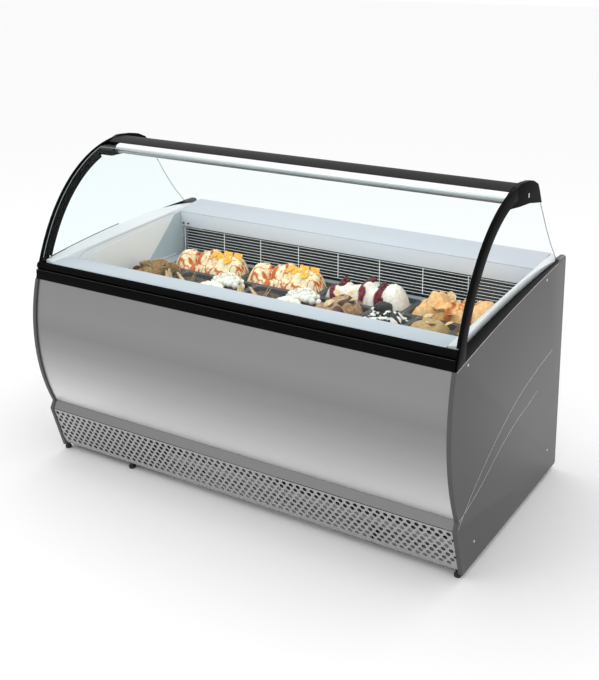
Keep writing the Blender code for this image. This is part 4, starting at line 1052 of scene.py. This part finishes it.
def whipped_pan(pan):
    """Crowns of small whipped balls over the whole pan, with nut flecks on the rear one."""
    seed = 22
    spot = pan_spot(pan)
    long_mound(pan, COCOA, seed, 0.040, 0.004, streams(2, (20, 60), 0.55))
    rng = random.Random(seed)

    def place(crown, spread, lift):
        cy, tall = crown
        a, r = rng.uniform(0, 2 * math.pi), math.sqrt(rng.random()) * spread
        x, y = WHIP_RX * r * math.cos(a), cy + WHIP_RY * r * math.sin(a)
        return x, y, lift + tall * math.sqrt(max(0.0, 1 - r * r)), r

    bm = bmesh.new()
    for crown in WHIP_CROWNS:
        for _ in range(64):
            x, y, z, _r = place(crown, 1.0, -0.006)
            size = min(rng.uniform(0.010, 0.015), 0.083 - abs(x))
            blob(bm, spot + Vector((x, y, z)), size, 0.9, 0.22, 2, rng.uniform(0, 9))
    topping("whipped_balls", pan, bm, WHIP)
    bm = bmesh.new()
    for _ in range(110):
        x, y, z, r = place(WHIP_CROWNS[0], 0.95, 0.0055)
        blob(bm, spot + Vector((x, y, z)), 0.0022, 0.9, 0.2, 1, r)
    topping("nut_flecks", pan, bm, CHIP)


def chocolate_pan(pan):
    """Rounded brown scoop with pale shavings."""
    mass = long_mound(pan, BROWN, 4, 0.072, 0.003, streams(0.3, (30, 22), 0.58, 0.05), 1, 0.004)
    spots = ((0.010, 0.110, 0.8, 0.5, 1.1), (-0.020, 0.100, 2.4, 0.4, 1.0), (0.034, 0.080, 0.2, 0.4, 0.9),
             (0.0, -0.030, 1.2, 0.5, 1.0))
    chips("shavings", pan, mass, spots, CHIP, 0.040, LEAF, 0.35)


def cookie_pan(pan):
    """White ice cream under dark biscuit pieces."""
    mass = long_mound(pan, COOKIE, 12, 0.050, 0.006, streams(3, (44, 44), 0.46, 0.03))
    rng = random.Random(5)
    light, dark = bmesh.new(), bmesh.new()
    for i in range(90):
        centre = on_top(mass, pan, rng.uniform(-0.066, 0.066), rng.uniform(-0.160, 0.150))
        blob(dark if i % 3 else light, centre, rng.uniform(0.006, 0.013), 0.6, 0.6, 2, rng.uniform(0, 9))
    blob(dark, on_top(mass, pan, -0.014, 0.104), 0.034, 0.62, 0.2, 3, 2.0)
    topping("cream_dabs", pan, light, WHIP)
    topping("cookie_pieces", pan, dark, COOKIE_CHIP, 50)


def tan_pan(pan):
    """Smooth tan ice cream with three wafers."""
    mass = long_mound(pan, TAN, 9, 0.046, 0.008, streams(3, (30, 30), 0.62))
    spots = ((-0.030, 0.110, 1.0, 0.4, 1.0), (0.020, 0.090, 4.2, 0.3, 1.0), (0.040, 0.130, 0.4, 0.5, 0.9))
    chips("wafers", pan, mass, spots, CHIP, 0.038)


def twig_pan(pan):
    """Tan ice cream under dark curled shavings."""
    mass = long_mound(pan, TAN, 15, 0.040, 0.006, streams(3, (30, 30), 0.55))
    rng = random.Random(17)
    ranges = ((-0.062, 0.062), (-0.155, 0.150), (0, 6.3), (0.6, 1.4), (0.5, 1.1))
    spots = [tuple(rng.uniform(*span) for span in ranges) for _ in range(70)]
    chips("shavings", pan, mass, spots[:46], DARK_CHIP, 0.042, WEDGE, 0.5)
    chips("wafers", pan, mass, spots[46:], CHIP, 0.036, LEAF, 0.3)


def stock():
    """Fills each pan, from the left."""
    rear = (caramel_pan, caramel_pan, cherry_pan, peach_pan)
    front = (wafer_bed, wedge_pan, whipped_pan, wedge_pan, whipped_pan, chocolate_pan, cookie_pan, tan_pan,
             twig_pan)
    for row, flavours in (("rear", rear), ("front", front)):
        for number, flavour in enumerate(flavours, 1):
            flavour(f"pan_{row}_{number}")


# ---------------------------------------------------------------- studio
FLOOR_SIZE, FLOOR_DROP = 30, 0.0005
EYE = (1.985, -3.152, 1.942)
EYE_TURN = (77.88, 0, 31.92)      # degrees
LENS = 56.33
LENS_SHIFT = -0.247


def area(name, place, aim, size, power):
    lamp = bpy.data.lights.new(name, "AREA")
    lamp.shape = "RECTANGLE"
    lamp.size, lamp.size_y = size
    lamp.energy = power
    obj = bpy.data.objects.new(name, lamp)
    obj.location = place
    obj.rotation_euler = (Vector(aim) - Vector(place)).to_track_quat("-Z", "Y").to_euler()
    bpy.context.scene.collection.objects.link(obj)
    return obj


def studio():
    """Pale floor, even white surroundings and soft lamps."""
    bm = bmesh.new()
    bmesh.ops.create_grid(bm, x_segments=1, y_segments=1, size=FLOOR_SIZE)
    mesh = bpy.data.meshes.new("floor")
    bm.to_mesh(mesh)
    bm.free()
    mesh.materials.append(principled("floor_white", (0.96, 0.96, 0.96), 0.95, Specular_IOR_Level=0.1))
    floor = bpy.data.objects.new("floor", mesh)
    floor.location.z = -FLOOR_DROP
    bpy.context.scene.collection.objects.link(floor)
    world = bpy.data.worlds.new("studio")
    world.use_nodes = True
    back = world.node_tree.nodes["Background"]
    back.inputs["Color"].default_value = (1, 1, 1, 1)
    back.inputs["Strength"].default_value = 1.0
    bpy.context.scene.view_settings.view_transform = "Standard"
    bpy.context.scene.world = world
    area("key", (-1.6, -3.4, 3.2), (0, 0, 0.6), (2.4, 1.6), 20)
    area("top", (0.0, 0.4, 3.6), (0, 0, 0.6), (3.0, 2.0), 20)
    inside = area("canopy_lamp", (0.0, -0.02, 1.125), (0, 0.08, 0.6), (1.5, 0.06), 1.6)
    inside.visible_camera = False
    inside.visible_glossy = False


def camera():
    """A camera with a vertical lens shift.

    The shift follows the camera's rotation mode: it holds while the camera keeps its own XYZ angles, and is
    gone once the camera is turned by a quaternion to look straight at the object from another side.
    """
    data = bpy.data.cameras.new("camera")
    data.sensor_width = 36.0
    data.lens = LENS
    data.shift_y = LENS_SHIFT
    eye = bpy.data.objects.new("camera", data)
    eye.rotation_mode = "XYZ"
    eye.location = Vector(EYE) + SHIFT
    eye.rotation_euler = [math.radians(angle) for angle in EYE_TURN]
    bpy.context.scene.collection.objects.link(eye)
    bpy.context.scene.camera = eye
    driver = data.driver_add("shift_y").driver
    driver.type = "SCRIPTED"
    mode = driver.variables.new()
    mode.name = "mode"
    mode.type = "SINGLE_PROP"
    mode.targets[0].id = eye
    mode.targets[0].data_path = "rotation_mode"
    driver.expression = f"{LENS_SHIFT} * min(mode, 1)"


dress_frame()
perforated_plinth()
wire_grille()
coil_fins()
end_panel_details()
counter_details()
liner_details()
glass_edges()
front_pane_edges()
trim_details()
rear_details()
stock()
studio()
camera()
